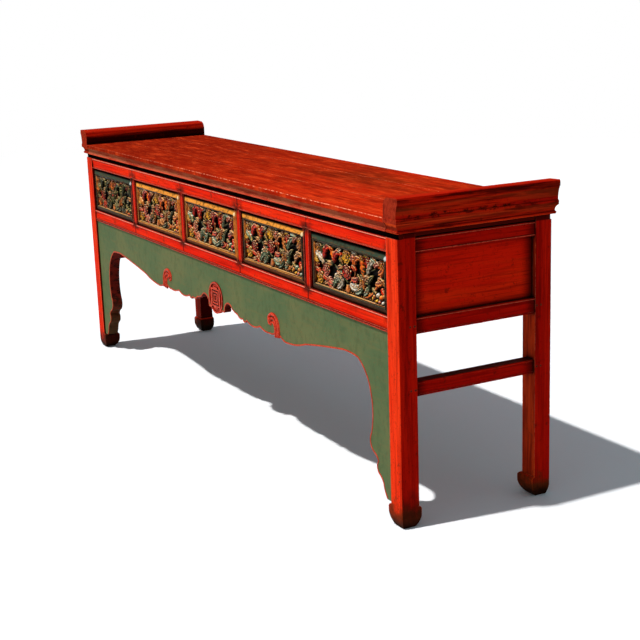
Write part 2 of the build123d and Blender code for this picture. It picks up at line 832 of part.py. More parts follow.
for side_name, side in sides.items():
    with BuildPart() as apron_side:
        points = sweep_points(side)
        with BuildSketch(front_plane):
            with BuildLine():
                arcs(points)
                Polyline(points[-1], (points[-1][0], apron_top), (points[0][0], apron_top), points[0])
            make_face()
        extrude(amount=-apron_thick)
    save(apron_side.part, f"apron_{side_name}")

    with BuildPart() as spandrel:
        points = spandrel_points(side)
        with BuildSketch(front_plane):
            with BuildLine():
                arcs(points)
                Polyline(
                    points[-1],
                    (side * leg_inner_x, spandrel_foot),
                    (side * leg_inner_x, apron_top),
                    (side * spandrel_joint, apron_top),
                    points[0],
                )
            make_face()
        extrude(amount=-spandrel_thick)
    save(spandrel.part, f"spandrel_{side_name}")

# ================================================================ roundel and scrolls
fret_pitch = 2 * roundel_line
fret_rings = 4
fret_bar_place = 3.5 * fret_pitch
fret_reach = roundel_diameter / 2 - roundel_line
roundel_front = Plane(
    origin=(motif_shift, apron_face - roundel_proud, roundel_centre), x_dir=(1, 0, 0), z_dir=(0, -1, 0)
)
with BuildPart() as roundel:
    with BuildSketch(roundel_front):
        Circle(roundel_diameter / 2)
    extrude(amount=-roundel_thick)
    with BuildSketch(roundel_front):
        Circle(fret_reach)
        for ring in reversed(range(fret_rings)):
            size = roundel_line + 2 * ring * fret_pitch
            Rectangle(size, size, mode=Mode.SUBTRACT)
            if ring > 0:
                inside = size - 2 * roundel_line
                Rectangle(inside, inside)
        for way in (-1, 1):
            with Locations((way * fret_bar_place, 0)):
                Rectangle(roundel_line, roundel_diameter, mode=Mode.SUBTRACT)
            with Locations((0, way * fret_bar_place)):
                Rectangle(fret_bar_place, roundel_line, mode=Mode.SUBTRACT)
    extrude(amount=-roundel_relief, mode=Mode.SUBTRACT)
save(roundel.part, "roundel")


def scroll_outline(way):
    """Hooked leaf: a rolled head, a broad back and a pointed tail, from the head round."""
    head = (-34, 14)
    points = [
        head,
        (-24, 32),
        (2, 37),
        (28, 26),
        (40, -2),
        (44, -22),
        (52, -38),
        (26, -46),
        (-4, -40),
        (6, -30),
        (6, -18),
        (2, -6),
        (-8, -2),
        (-17, -6),
        (-26, -4),
        (-34, 3),
        head,
    ]
    return [(way * u, v) for u, v in points]


for side_name, side in sides.items():
    origin_x = motif_shift + side * (seam_from_motif + 16)
    scroll_plane = Plane(
        origin=(origin_x, apron_face - scroll_proud, apron_cusp + 35), x_dir=(1, 0, 0), z_dir=(0, -1, 0)
    )
    with BuildPart() as scroll:
        with BuildSketch(scroll_plane):
            with BuildLine():
                arcs(scroll_outline(side))
            make_face()
        extrude(amount=-scroll_proud)
    save(scroll.part, f"scroll_{side_name}")

# ================================================================ drawers
rail_face = -(half_depth - rail_setback)
front_edge_y = rail_face + drawer_recess
lip_y = front_edge_y - border_rise
front_back_y = front_edge_y + drawer_front_thick
front_width = bay_width - 2 * drawer_side_gap
front_low = lower_rail_top + drawer_rail_gap
front_high = upper_rail_low - drawer_top_gap
front_height = front_high - front_low
front_middle = (front_low + front_high) / 2
field_width = front_width - 2 * (border_width + border_lip)
field_height = front_height - 2 * (border_width + border_lip)
side_dado = drawer_side_thick * 0.7
drawer_end_y = runner_y - drawer_back_gap
side_high = front_low + drawer_side_height
bottom_low = front_low + drawer_bottom_lift
bottom_high = bottom_low + drawer_bottom_thick


def facing_front(x, y, z):
    """Sketch plane that faces the front, with its first axis along X and its second along Z."""
    return Plane(origin=(x, y, z), x_dir=(1, 0, 0), z_dir=(0, -1, 0))


def make_drawer_front(x):
    """Drawer front: a board with a raised bevelled border round a sunk field."""
    with BuildPart() as front:
        slab(
            (x - front_width / 2, x + front_width / 2),
            (front_edge_y, front_back_y),
            (front_low, front_high),
        )
        with BuildSketch(facing_front(x, front_edge_y, front_middle)):
            Rectangle(front_width, front_height)
        with BuildSketch(facing_front(x, lip_y, front_middle)):
            Rectangle(front_width - 2 * border_width, front_height - 2 * border_width)
        loft()
        with BuildSketch(facing_front(x, lip_y, front_middle)):
            Rectangle(field_width, field_height)
        extrude(amount=-field_depth, mode=Mode.SUBTRACT)
        for way in (-1, 1):
            edge = x + way * front_width / 2
            slab(
                (edge, edge - way * (drawer_side_thick + joint_fit)),
                (front_back_y - side_dado - joint_fit, front_back_y),
                (front_low, side_high + joint_fit),
                Mode.SUBTRACT,
            )
        slab(
            (x - front_width / 2, x + front_width / 2),
            (front_back_y - drawer_groove - joint_fit, front_back_y),
            (bottom_low - joint_fit, bottom_high + joint_fit),
            Mode.SUBTRACT,
        )
    return front.part


def make_drawer_box(x):
    """The two sides and the back of a drawer, grooved for its bottom."""
    with BuildPart() as box:
        for way in (-1, 1):
            outer = x + way * front_width / 2
            inner = outer - way * drawer_side_thick
            slab((outer, inner), (front_back_y - side_dado, drawer_end_y), (front_low, side_high))
            slab(
                (inner, inner + way * (drawer_groove + joint_fit)),
                (front_back_y - side_dado, drawer_end_y),
                (bottom_low - joint_fit, bottom_high + joint_fit),
                Mode.SUBTRACT,
            )
        reach = front_width / 2 - drawer_side_thick - joint_fit
        slab(
            (x - reach, x + reach),
            (drawer_end_y - drawer_side_thick, drawer_end_y),
            (bottom_high + joint_fit, side_high),
        )
    return box.part


def make_drawer_bottom(x):
    """Bottom board, held in the grooves of the front and sides."""
    reach = front_width / 2 - drawer_side_thick + drawer_groove
    with BuildPart() as bottom:
        slab((x - reach, x + reach), (front_back_y - drawer_groove, drawer_end_y), (bottom_low, bottom_high))
    return bottom.part


# Each flower: place across and up the field as shares of its half width and half
# height, outer radius, and number of petals. The stem runs through them in this order.
carving_designs = [
    [
        (-0.84, 0.38, 15, 5),
        (-0.56, -0.42, 17, 6),
        (-0.27, 0.30, 20, 8),
        (0.04, -0.40, 16, 5),
        (0.33, 0.36, 18, 6),
        (0.60, -0.36, 17, 8),
        (0.86, 0.34, 15, 5),
    ],
    [
        (-0.86, -0.36, 15, 6),
        (-0.60, 0.38, 17, 5),
        (-0.30, -0.30, 18, 6),
        (0.00, 0.28, 21, 8),
        (0.31, -0.38, 17, 5),
        (0.60, 0.36, 18, 6),
        (0.86, -0.34, 15, 5),
    ],
    [
        (-0.84, 0.36, 16, 6),
        (-0.55, -0.34, 18, 8),
        (-0.24, 0.42, 15, 5),
        (0.02, -0.12, 22, 8),
        (0.30, 0.42, 15, 5),
        (0.58, -0.36, 18, 8),
        (0.85, 0.36, 16, 6),
    ],
    [
        (-0.85, -0.34, 16, 5),
        (-0.58, 0.34, 18, 8),
        (-0.28, -0.38, 16, 6),
        (0.01, 0.34, 19, 6),
        (0.30, -0.30, 19, 8),
        (0.59, 0.38, 16, 5),
        (0.86, -0.38, 15, 6),
    ],
    [
        (-0.83, 0.34, 17, 6),
        (-0.54, -0.38, 17, 5),
        (-0.25, 0.38, 16, 6),
        (0.03, -0.24, 21, 8),
        (0.32, 0.38, 17, 5),
        (0.60, -0.38, 17, 6),
        (0.86, 0.32, 15, 8),
    ],
]


def make_carving(x, design):
    """Openwork panel: flowers and leaves on one winding stem inside a thin rim."""
    width = field_width - 2 * carving_fit
    height = field_height - 2 * carving_fit
    thick = field_depth - carving_set_back
    places = [(u * width / 2, v * height / 2) for u, v, radius, petals in design]
    first = (-width / 2 + carving_rim / 2, -places[0][1] / 2)
    last = (width / 2 - carving_rim / 2, -places[-1][1] / 2)
    with BuildPart() as carving:
        with BuildSketch(facing_front(x, lip_y + carving_set_back, front_middle)):
            Rectangle(width, height)
            Rectangle(width - 2 * carving_rim, height - 2 * carving_rim, mode=Mode.SUBTRACT)
            with BuildLine():
                Spline(first, *places, last)
            trace(line_width=stem_width)
            for (u, v), (_, _, radius, petals) in zip(places, design):
                petal = radius * 0.42
                with Locations((u, v)):
                    Circle(radius - petal)
                    with PolarLocations(radius - petal, petals):
                        Circle(petal)
                toward_edge = 1 if v > 0 else -1
                edge_gap = height / 2 - carving_rim - abs(v) - radius
                with Locations((u, v + toward_edge * (radius + edge_gap / 2))):
                    Rectangle(stem_width, edge_gap + 2 * petal)
                for angle in leaf_angles:
                    turn = Vector(1, 0).rotate(Axis.Z, toward_edge * angle)
                    reach = radius + 0.4 * leaf_length
                    with Locations((u + reach * turn.X, v + reach * turn.Y)):
                        Ellipse(leaf_length, leaf_width, rotation=toward_edge * angle)
            with BuildSketch(mode=Mode.PRIVATE) as inside:
                Rectangle(width, height)
            add(inside.sketch, mode=Mode.INTERSECT)
        extrude(amount=-thick)
    return carving.part


for i, x in enumerate(bay_places):
    number = i + 1
    save(make_drawer_front(x), f"drawer_{number}_front")
    save(make_drawer_box(x), f"drawer_{number}_box")
    save(make_drawer_bottom(x), f"drawer_{number}_bottom")
    save(make_carving(x, carving_designs[i]), f"drawer_{number}_carving")
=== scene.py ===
import math
import random

import bmesh
import bpy
from mathutils import Matrix, Vector


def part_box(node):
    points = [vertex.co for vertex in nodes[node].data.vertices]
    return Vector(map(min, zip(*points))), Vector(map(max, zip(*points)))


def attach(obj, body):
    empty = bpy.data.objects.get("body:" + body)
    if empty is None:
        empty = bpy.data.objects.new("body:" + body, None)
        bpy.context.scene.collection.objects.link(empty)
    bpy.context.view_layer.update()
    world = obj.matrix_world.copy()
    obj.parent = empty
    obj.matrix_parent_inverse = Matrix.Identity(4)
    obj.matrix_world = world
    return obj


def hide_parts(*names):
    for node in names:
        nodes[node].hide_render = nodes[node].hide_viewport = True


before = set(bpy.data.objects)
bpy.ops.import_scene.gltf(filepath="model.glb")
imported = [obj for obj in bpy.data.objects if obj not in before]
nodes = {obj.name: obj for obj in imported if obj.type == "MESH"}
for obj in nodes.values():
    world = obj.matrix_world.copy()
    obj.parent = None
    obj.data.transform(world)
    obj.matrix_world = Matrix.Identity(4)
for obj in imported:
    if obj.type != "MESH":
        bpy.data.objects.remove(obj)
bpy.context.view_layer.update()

# ======== sizes, in metres
MM = 0.001
DRAWERS = range(1, 6)
BAY = 0.476                                 # from one stile to the next
LEG_WIDTH = 0.058                           # above the hoof
LEG_GAP = 0.1995                            # half the gap between a front and a back leg
FLOOR_Z = 0.0
COVE_Z = (0.8620, 0.8585)                   # upper edge of the tan cove below the top, where it fades in
PINK_BEAD_Z = (0.8425, 0.8405)              # upper edge of the pink bead below the cove
# the first band is painted shade under the lip of each end
END_LIP_SHADE = (0.914, 0.926)                   # heights of the bands along the everted ends
END_BROWN = ((0.887, 0.911), (0.851, 0.869))
END_SPOTTED = (0.871, 0.885)
BACK_Y = (0.150, 0.180)                     # where the back legs and rails begin
MITRE = 0.0125                              # from a drawer front's edge to the middle of its border
LEFT_SHARE = 0.45                           # how much looking left counts beside looking up
BORDERS = {1: "border_green", 2: "border_gold", 3: "border_gold", 4: "border_dark", 5: "border_green"}

side_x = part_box("leg_front_right")[1].x     # outer faces of the legs
leg_inner_x = side_x - LEG_WIDTH            # their inner faces, above the hoof
apron_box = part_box("apron_centre")
apron_face, apron_top = apron_box[0].y, apron_box[1].z
roundel_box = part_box("roundel")
top_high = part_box("top_board_front")[1].z
end_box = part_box("everted_end_right")
upper_rail, lower_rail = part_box("front_upper_rail"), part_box("front_lower_rail")
front_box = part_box("drawer_3_front")
GLINT = (front_box[1].x - MITRE, 0.0, front_box[1].z - MITRE)
carving_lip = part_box("drawer_3_carving")[0].y


# ======== camera
def make_camera():
    """Camera at the photographed viewing angle."""
    place = (4.1395, -2.0673, 1.4559)
    yaw, pitch, roll = 1.0752, -0.2421, -0.0341
    focal_pixels, frame_pixels = 1321.46, 640
    ahead = Vector((-math.sin(yaw) * math.cos(pitch), math.cos(yaw) * math.cos(pitch), math.sin(pitch)))
    level = Vector((math.cos(yaw), math.sin(yaw), 0))
    above = level.cross(ahead)
    right = level * math.cos(roll) + above * math.sin(roll)
    up = above * math.cos(roll) - level * math.sin(roll)
    camera = bpy.data.objects.new("camera", bpy.data.cameras.new("camera"))
    bpy.context.scene.collection.objects.link(camera)
    camera.matrix_world = Matrix((
        (right.x, up.x, -ahead.x, place[0]),
        (right.y, up.y, -ahead.y, place[1]),
        (right.z, up.z, -ahead.z, place[2]),
        (0, 0, 0, 1),
    ))
    camera.data.sensor_width = 36
    camera.data.lens = focal_pixels * camera.data.sensor_width / frame_pixels
    bpy.context.scene.camera = camera


# ======== materials
# display colours, from 0 to 255
DARK_RED = (150, 14, 6)
BLACK_RED = (30, 5, 3)
PINK_RUBBED_HIGHLIGHT = (255, 140, 108)
WORN_BROWN = (116, 44, 24)
DIRT_AND_SHADE = (34, 18, 12)
DEEP_SHADE = (12, 5, 3)

# factors that paint shade on the faces towards the ends of the table
SIDE_SHADE = (0.54, 0.16, 0.12, 1)
PANEL_SIDE_SHADE = (0.68, 0.22, 0.14, 1)

LACQUERS = {
    # grain, light, middle and dark colour, strength of the streaks, reach of the painted shade in corners,
    # painted shade of the sides
    "lacquer_x": ("x", (252, 50, 14), (236, 32, 8), (146, 12, 5), 0.7),
    "lacquer_y": ("y", (238, 50, 18), (214, 32, 12), DARK_RED, 1.2),
    "lacquer_z": ("z", (250, 60, 21), (232, 42, 14), DARK_RED, 0.8),
    "lacquer_stile": ("z", (238, 38, 12), (214, 24, 7), (120, 10, 5), 0.8),
    "lacquer_panel": ("y", (255, 80, 26), (250, 58, 20), (150, 20, 8), 0.8, 0.05, PANEL_SIDE_SHADE),
}
SLOPE_LIGHT_AND_SHADE = {
    # upper, right, left and lower slope of a border, each painted with its own light and shade, and a
    # painted glint at a mitre
    "border_gold": ((232, 148, 56), (206, 118, 38), (58, 30, 16), (128, 68, 34), (255, 226, 168)),
    "border_dark": ((232, 148, 56), (26, 20, 12), (58, 30, 16), (128, 68, 34), (255, 226, 168)),
    "border_green": ((56, 70, 54), (18, 22, 14), (70, 40, 24), (76, 48, 32), (216, 226, 222)),
}
RELIEF_PAINTS = {
    # name, main, shaded and worn colour, amount of wear
    "carved_red": ("paint_carved_red", (214, 52, 28), (160, 30, 14), (250, 120, 88), 0.5),
    # the pink stands for a painted highlight on the beads
    "bead_pink_highlight": ("paint_bead_highlight", (255, 126, 92), (246, 84, 52), (255, 196, 170), 0.7),
    "bead_red": ("paint_bead_red", (190, 44, 22), (130, 22, 10), (240, 110, 80), 0.6),
    "line_red": ("paint_line_red", (212, 66, 36), (170, 40, 20), (246, 130, 96), 0.4),
}
CARVING_PAINTS = {
    # main, shaded and worn colour; the worn colour is also the painted highlight where a carving looks up
    "gold": ((254, 178, 32), (200, 112, 20), (255, 214, 96)),
    "vermilion": ((240, 46, 14), (180, 28, 10), (255, 116, 64)),
    "orange": ((254, 118, 16), (208, 72, 12), (255, 182, 84)),
    "pink": ((248, 134, 92), (194, 76, 48), (255, 210, 176)),
    "mauve": ((232, 98, 74), (160, 50, 36), (255, 184, 160)),
    "crimson": ((212, 42, 22), (132, 22, 12), (255, 128, 92)),
    "teal": ((146, 158, 114), (76, 90, 58), (240, 238, 212)),
    "white": ((244, 222, 188), (164, 138, 108), (253, 249, 240)),
    "moss": ((92, 92, 44), (42, 46, 20), (210, 184, 112)),
    "tan": ((228, 126, 48), (150, 72, 24), (255, 200, 122)),
    # the rims, which carry the painted highlight
    "rim": ((255, 192, 108), (230, 128, 54), (255, 234, 188)),
    "rim_dark": ((158, 96, 44), (90, 54, 26), (230, 180, 116)),
}


def linear(colour):
    """Linear colour of a display colour; anything else stays as it is."""
    if not isinstance(colour, tuple) or len(colour) != 3:
        return colour
    parts = [c / 255 for c in colour]
    return tuple(c / 12.92 if c < 0.04 else ((c + 0.055) / 1.055) ** 2.4 for c in parts) + (1.0,)


def add_node(tree, kind, inputs, **settings):
    """Adds a shader node; each input is a value or the output of another node."""
    made = tree.nodes.new("ShaderNode" + kind)
    for key, value in settings.items():
        setattr(made, key, value)
    for key, value in inputs.items():
        if isinstance(value, bpy.types.NodeSocket):
            tree.links.new(value, made.inputs[key])
        else:
            made.inputs[key].default_value = value
    return made


class Coat:
    """The node tree of one material and its colour so far, with short ways to add the usual nodes."""

    def __init__(self, name, roughness, specular, colour=None):
        self.material = bpy.data.materials.new(name)
        self.material.use_nodes = True
        self.tree = self.material.node_tree
        self.colour = colour
        self.shader = self.tree.nodes["Principled BSDF"]
        self.shader.inputs["Roughness"].default_value = roughness
        self.shader.inputs["Specular IOR Level"].default_value = specular
        coordinates = self.tree.nodes.new("ShaderNodeTexCoord")
        self.place = coordinates.outputs["Object"]
        self.x, self.y, self.z = self.split(self.place)
        self.facing_x, self.facing_y, self.facing_z = self.split(coordinates.outputs["Normal"])

    def node(self, kind, inputs, **settings):
        """Adds a node to the material."""
        return add_node(self.tree, kind, inputs, **settings)

    def split(self, vector):
        """X, Y and Z of a vector."""
        parts = self.node("SeparateXYZ", {"Vector": vector})
        return parts.outputs["X"], parts.outputs["Y"], parts.outputs["Z"]

    def noise(self, scale, detail=4.0, roughness=0.55, shift=0.0):
        """Noise with its own number of features per metre along each axis."""
        inputs = {"Vector": self.place, "Scale": scale, "Location": (shift, shift, shift)}
        mapped = self.node("Mapping", inputs).outputs["Vector"]
        inputs = {"Vector": mapped, "Scale": 1.0, "Detail": detail, "Roughness": roughness}
        return self.node("TexNoise", inputs).outputs["Fac"]

    def step(self, value, low, high):
        """0 below low, 1 above high, smooth between; low may be the larger."""
        inputs = {
            "Value": value, "From Min": min(low, high), "From Max": max(low, high),
            "To Min": float(low > high), "To Max": float(low <= high),
        }
        return self.node("MapRange", inputs, interpolation_type="SMOOTHSTEP").outputs["Result"]

    def between(self, value, a, b, c, d):
        """0 up to a, 1 from b to c, 0 from d on."""
        return self.both(self.step(value, a, b), self.step(value, d, c))

    def patches(self, low, high, scale, detail=4.0, roughness=0.55, shift=0.0):
        """Soft patches of noise: 0 where it is below low, 1 where it is above high."""
        return self.step(self.noise(scale, detail, roughness, shift), low, high)

    def math(self, operation, a, b=0.0):
        """A Math node on one or two values."""
        return self.node("Math", {0: a, 1: b}, operation=operation).outputs[0]

    def size(self, value):
        """The value without its sign."""
        return self.math("ABSOLUTE", value)

    def both(self, *masks):
        """Product of masks."""
        product = masks[0]
        for mask in masks[1:]:
            product = self.math("MULTIPLY", product, mask)
        return product

    def either(self, a, b):
        """The larger of two masks."""
        return self.math("MAXIMUM", a, b)

    def mix(self, mask, under, over):
        """Colour over laid on colour under where the mask is 1."""
        inputs = {"Fac": mask, "Color1": linear(under), "Color2": linear(over)}
        return self.node("MixRGB", inputs).outputs["Color"]

    def lay(self, over, *masks):
        """Lays a colour on the colour so far, where all the masks are 1."""
        self.colour = self.mix(self.both(*masks), self.colour, over)

    def sides(self):
        """1 on the faces towards the ends of the table."""
        return self.step(self.size(self.facing_x), 0.5, 0.85)

    def shade_sides(self, tint):
        """Paints shade on the faces towards the ends of the table, by multiplying their colour."""
        inputs = {"Fac": self.sides(), "Color1": self.colour, "Color2": tint}
        self.colour = self.node("MixRGB", inputs, blend_type="MULTIPLY").outputs["Color"]

    def openness(self, distance):
        """1 on open surfaces, falling to 0 in corners and gaps nearer than the distance."""
        return self.node("AmbientOcclusion", {"Distance": distance}, samples=8).outputs["AO"]

    def arris(self, radius):
        """1 along convex edges, within about the radius."""
        rounded = self.node("Bevel", {"Radius": radius}, samples=6).outputs["Normal"]
        true = self.node("NewGeometry", {}).outputs["Normal"]
        turned = self.node("VectorMath", {0: rounded, 1: true}, operation="DOT_PRODUCT").outputs["Value"]
        edge = self.step(turned, 0.985, 0.86)
        return self.both(edge, self.step(self.openness(radius * 1.5), 0.55, 0.85))

    def done(self, height=None, depth=0.0006, roughness=None):
        """Joins the colour, the relief and the roughness to the shader."""
        self.tree.links.new(self.colour, self.shader.inputs["Base Color"])
        if height is not None:
            bump = self.node("Bump", {"Height": height, "Strength": 0.6, "Distance": depth})
            self.tree.links.new(bump.outputs["Normal"], self.shader.inputs["Normal"])
        if roughness is not None:
            self.tree.links.new(roughness, self.shader.inputs["Roughness"])
        return self.material


def along(grain, slow, fast):
    """Features per metre: few along the grain, many across it."""
    return tuple(slow if axis == grain else fast for axis in "xyz")


def lay_lacquer(coat, grain, light, middle, dark, streaks):
    """Streaky red lacquer; gives its finest streaks, for the relief."""
    broad = coat.patches(0.36, 0.62, along(grain, 1.7, 26), 5.0)
    coat.colour = coat.mix(broad, middle, light)
    coat.lay(dark, coat.patches(0.50, 0.66, along(grain, 3.5, 80), 4.0, 0.6, 17.0), 0.55 * streaks)
    fine = coat.noise(along(grain, 6, 210), 3.0, 0.6, 3.0)
    coat.lay(dark, coat.step(fine, 0.50, 0.66), 0.50 * streaks)
    return fine


def wear(coat, grain, edge=PINK_RUBBED_HIGHLIGHT, rubbed_highlight_amount=0.75, corner_shade_amount=0.9, recess=0.030):
    """Scratches, brown scars, painted shade in the corners, dark specks, and chipped and rubbed arrises that
    also carry a painted highlight.
    """
    coat.lay(BLACK_RED, coat.patches(0.60, 0.68, along(grain, 9, 420), 3.0, shift=11.0), 0.4)
    scars = coat.noise((34, 34, 34), 6.0, 0.7, 5.0)
    coat.lay(WORN_BROWN, coat.step(scars, 0.60, 0.67), 0.7)
    # painted shade in corners and gaps, at two reaches
    coat.lay(BLACK_RED, coat.step(coat.openness(recess), 0.97, 0.45), 0.75 * corner_shade_amount)
    coat.lay(DIRT_AND_SHADE, coat.step(coat.openness(0.011), 0.93, 0.50), corner_shade_amount)
    coat.lay(BLACK_RED, coat.patches(0.58, 0.66, (170, 170, 110), 6.0, 0.7, 23.0), 0.45)
    rim = coat.arris(0.0024)
    coat.lay(DIRT_AND_SHADE, rim, coat.step(scars, 0.46, 0.38), 0.8)
    # pale rubbed arrises, which also carry a painted highlight
    coat.lay(edge, rim, coat.step(scars, 0.42, 0.52), rubbed_highlight_amount)


def make_lacquer(name, grain, light, middle, dark, streaks, recess=0.030, tint=SIDE_SHADE):
    """Vermilion lacquer of the legs, rails, stiles and panels."""
    coat = Coat(name, roughness=0.42, specular=0.006)
    fine = lay_lacquer(coat, grain, light, middle, dark, streaks)
    back_shade_and_stain(coat)
    if grain == "y":
        coat.lay((52, 18, 10), coat.step(coat.facing_z, 0.5, 0.85), 0.88)
        reach = coat.math("ADD", coat.size(coat.y), coat.both(fine, 0.03))
        coat.lay((64, 14, 7), coat.step(reach, 0.172, 0.210), 0.75)
    # painted shade under the overhang of the top, above the upper rail
    coat.lay((70, 12, 6), coat.step(coat.z, upper_rail[1].z - 0.001, upper_rail[1].z + 0.002), 0.9)
    dark_edges(coat, grain)
    joint_stains(coat)
    wear(coat, grain, recess=recess)
    if grain == "z":
        runs = coat.patches(0.50, 0.66, (45, 45, 2.2), 5.0, 0.6, 25.0)
        coat.lay((96, 22, 10), coat.sides(), runs, 0.6)
    # painted shade on the faces towards the ends of the table
    coat.shade_sides(tint)
    soil_feet(coat, grain)
    rough = coat.node("MapRange", {"Value": fine, "To Min": 0.36, "To Max": 0.56})
    return coat.done(fine, roughness=rough.outputs["Result"])


def back_shade_and_stain(coat):
    """Painted shade, partly patchy brown stain, on the front faces of the back legs and rails, darkest on
    the left; painted shade on the inner side of the left back leg.
    """
    behind = coat.step(coat.y, *BACK_Y)
    patchy = coat.patches(0.40, 0.62, (75, 75, 5), 5.0, shift=21.0)
    brown = coat.mix(patchy, (186, 62, 22), (62, 20, 9))
    brown = coat.mix(coat.step(coat.x, 0.3, -0.3), brown, (52, 16, 8))
    coat.lay(brown, behind, coat.step(coat.facing_y, -0.5, -0.85), 0.72)
    inner = coat.both(behind, coat.step(coat.facing_x, 0.5, 0.85), coat.step(coat.x, 0.0, -0.5), 0.9)
    coat.lay((58, 14, 8), inner)


def dark_edges(coat, grain):
    """Front rails and stiles are deeper red towards their edges."""
    if grain == "y":
        return
    if grain == "x":
        bands = []
        for rail, start, edge in ((upper_rail, 0.009, 0.021), (lower_rail, 0.010, 0.023)):
            middle = (rail[0].z + rail[1].z) / 2
            away = coat.size(coat.math("SUBTRACT", coat.z, middle))
            bands.append(coat.between(away, start, edge, edge + 0.004, edge + 0.009))
        near = coat.either(*bands)
    else:
        bay = coat.math("PINGPONG", coat.x, BAY / 2)
        stile = coat.step(coat.size(coat.x), leg_inner_x, leg_inner_x - 0.01)
        near = coat.both(coat.step(bay, BAY / 2 - 0.007, BAY / 2 - 0.017), stile)
    coat.lay(DARK_RED, coat.step(coat.facing_y, -0.3, -0.6), near, 0.6)


def joint_stains(coat):
    """Brown stains where the stiles meet the front rails, and a dark line down each joint."""
    low, high = lower_rail[1].z, upper_rail[0].z
    bay = coat.math("PINGPONG", coat.x, BAY / 2)
    inside = coat.step(coat.size(coat.x), leg_inner_x + 0.0005, leg_inner_x - 0.0005)
    inside = coat.both(inside, coat.step(coat.y, 0.0, -0.1))
    post = coat.both(coat.step(bay, BAY / 2 - 0.050, BAY / 2 - 0.016), inside)
    upper = coat.between(coat.z, high - 0.023, high - 0.003, high + 0.010, high + 0.038)
    lower = coat.between(coat.z, low - 0.026, low - 0.009, low + 0.001, low + 0.017)
    blotch = coat.noise((34, 34, 70), 5.0, 0.65, 13.0)
    coat.lay((84, 24, 13), coat.either(upper, lower), post, coat.step(blotch, 0.30, 0.52), 0.9)
    rails = coat.either(
        coat.step(coat.z, low + 0.0005, low - 0.0005), coat.step(coat.z, high - 0.0005, high + 0.0005))
    joint = coat.step(bay, BAY / 2 - 0.007, BAY / 2 - 0.002)
    coat.lay(DIRT_AND_SHADE, coat.both(joint, inside, rails, coat.step(blotch, 0.28, 0.48)), 0.7)


def soil_feet(coat, grain):
    """Brown soil low on the legs, and a painted highlight along the crease of the right feet."""
    ragged = coat.math("SUBTRACT", coat.noise((30, 30, 30)), 0.5)
    height = coat.math("ADD", coat.z, coat.both(ragged, 0.09))
    soil = coat.mix(coat.step(coat.x, 0.3, -0.3), (78, 38, 15), (44, 26, 13))
    coat.lay(soil, coat.step(height, 0.078, 0.034), 0.88)
    coat.lay((30, 18, 9), coat.step(height, 0.036, 0.004), 0.8)
    front_sides = coat.both(coat.sides(), coat.step(height, 0.125, 0.060), coat.step(coat.y, 0.0, -0.1))
    coat.lay((38, 12, 6), front_sides, 0.6)
    if grain == "z":
        # painted highlight along the crease at the top of the right feet
        foot = coat.between(coat.z, 0.020, 0.055, 0.105, 0.135)
        foot = coat.both(foot, coat.step(coat.x, -0.3, 0.3))
        coat.lay((240, 92, 38), coat.arris(0.003), foot, 0.8)


def make_top_lacquer():
    """Rubbed lacquer of the top, with the painted bands of its edge moulding."""
    coat = Coat("lacquer_top", roughness=0.4, specular=0.0)
    fine = lay_lacquer(coat, "x", (224, 54, 18), (196, 36, 10), (126, 18, 7), 0.8)
    coat.lay((130, 25, 8), coat.step(coat.x, 1.1, -0.9), 0.88)
    coat.lay((122, 22, 9), coat.patches(0.44, 0.66, (5, 13, 1), 7.0, 0.66, 2.0), 0.65)
    behind = coat.both(coat.step(coat.y, -0.10, 0.08), coat.step(coat.x, -0.2, 0.5))
    coat.lay((116, 32, 10), behind, coat.patches(0.34, 0.56, (2.5, 6, 1), 5.0, 0.6, 19.0), 0.8)
    coat.lay((228, 70, 28), coat.patches(0.50, 0.70, (7, 26, 1), 7.0, 0.66, 6.0), 0.55)
    streaks = coat.noise((9, 150, 1), 5.0, 0.65, 31.0)
    coat.lay((240, 82, 34), coat.step(streaks, 0.52, 0.66), 0.45)
    coat.lay((118, 18, 7), coat.step(streaks, 0.46, 0.34), 0.35)

    # tan cove and pink bead below the band of the top
    worn = coat.noise((9, 9, 60), 5.0, shift=9.0)
    tan = coat.mix(coat.step(worn, 0.40, 0.64), (176, 92, 62), (160, 58, 38))
    pink = coat.mix(coat.step(worn, 0.46, 0.66), (240, 96, 66), (206, 60, 38))
    coat.lay(tan, coat.step(coat.z, *COVE_Z), 0.9)
    coat.lay(pink, coat.step(coat.z, *PINK_BEAD_Z))

    wear(coat, "x", edge=(250, 128, 84), rubbed_highlight_amount=0.8, corner_shade_amount=0.5)
    # pale dots on the front arris of the top: chips, and a painted highlight
    front_arris = coat.both(
        coat.step(coat.facing_y, -0.3, -0.5),
        coat.step(coat.z, top_high - 0.0022, top_high - 0.0016),
        coat.step(coat.x, -1.7, 0.9),
    )
    chipped_highlight = coat.patches(0.45, 0.58, (70, 70, 70), 5.0, 0.65, 15.0)
    coat.lay((252, 156, 116), front_arris, chipped_highlight)
    return coat.done(fine, depth=0.0003)


def make_end_lacquer():
    """Darker, streaked lacquer of the everted ends."""
    coat = Coat("lacquer_end", roughness=0.42, specular=0.0)
    fine = lay_lacquer(coat, "y", (255, 92, 40), (246, 62, 26), (84, 14, 6), 1.3)
    outward = coat.step(coat.size(coat.x), side_x - 0.004, side_x + 0.008)
    coat.lay((60, 12, 6), coat.patches(0.48, 0.60, (3, 3.2, 46), 5.0, 0.65, 4.0), outward, 0.85)
    coat.lay((168, 18, 7), coat.step(coat.facing_z, 0.25, 0.65), 0.85)
    # painted shade on the inner face of each end, below its rolled top
    inward = coat.step(coat.size(coat.x), end_box[0].x + 0.010, end_box[0].x + 0.003)
    coat.lay((26, 6, 5), inward, coat.step(coat.z, end_box[1].z - 0.016, end_box[1].z - 0.036), 0.93)
    grime = coat.patches(0.40, 0.66, (90, 90, 60), 5.0, shift=6.0)
    brick = coat.mix(grime, (160, 48, 29), (126, 34, 20))
    coat.lay(brick, coat.step(coat.facing_y, -0.85, -0.97), 0.9)
    wear(coat, "y", edge=(236, 70, 40), rubbed_highlight_amount=0.45)
    # painted shade on the faces towards the ends of the table
    coat.shade_sides(SIDE_SHADE)
    end_bands(coat, outward)
    return coat.done(fine, depth=0.0003)


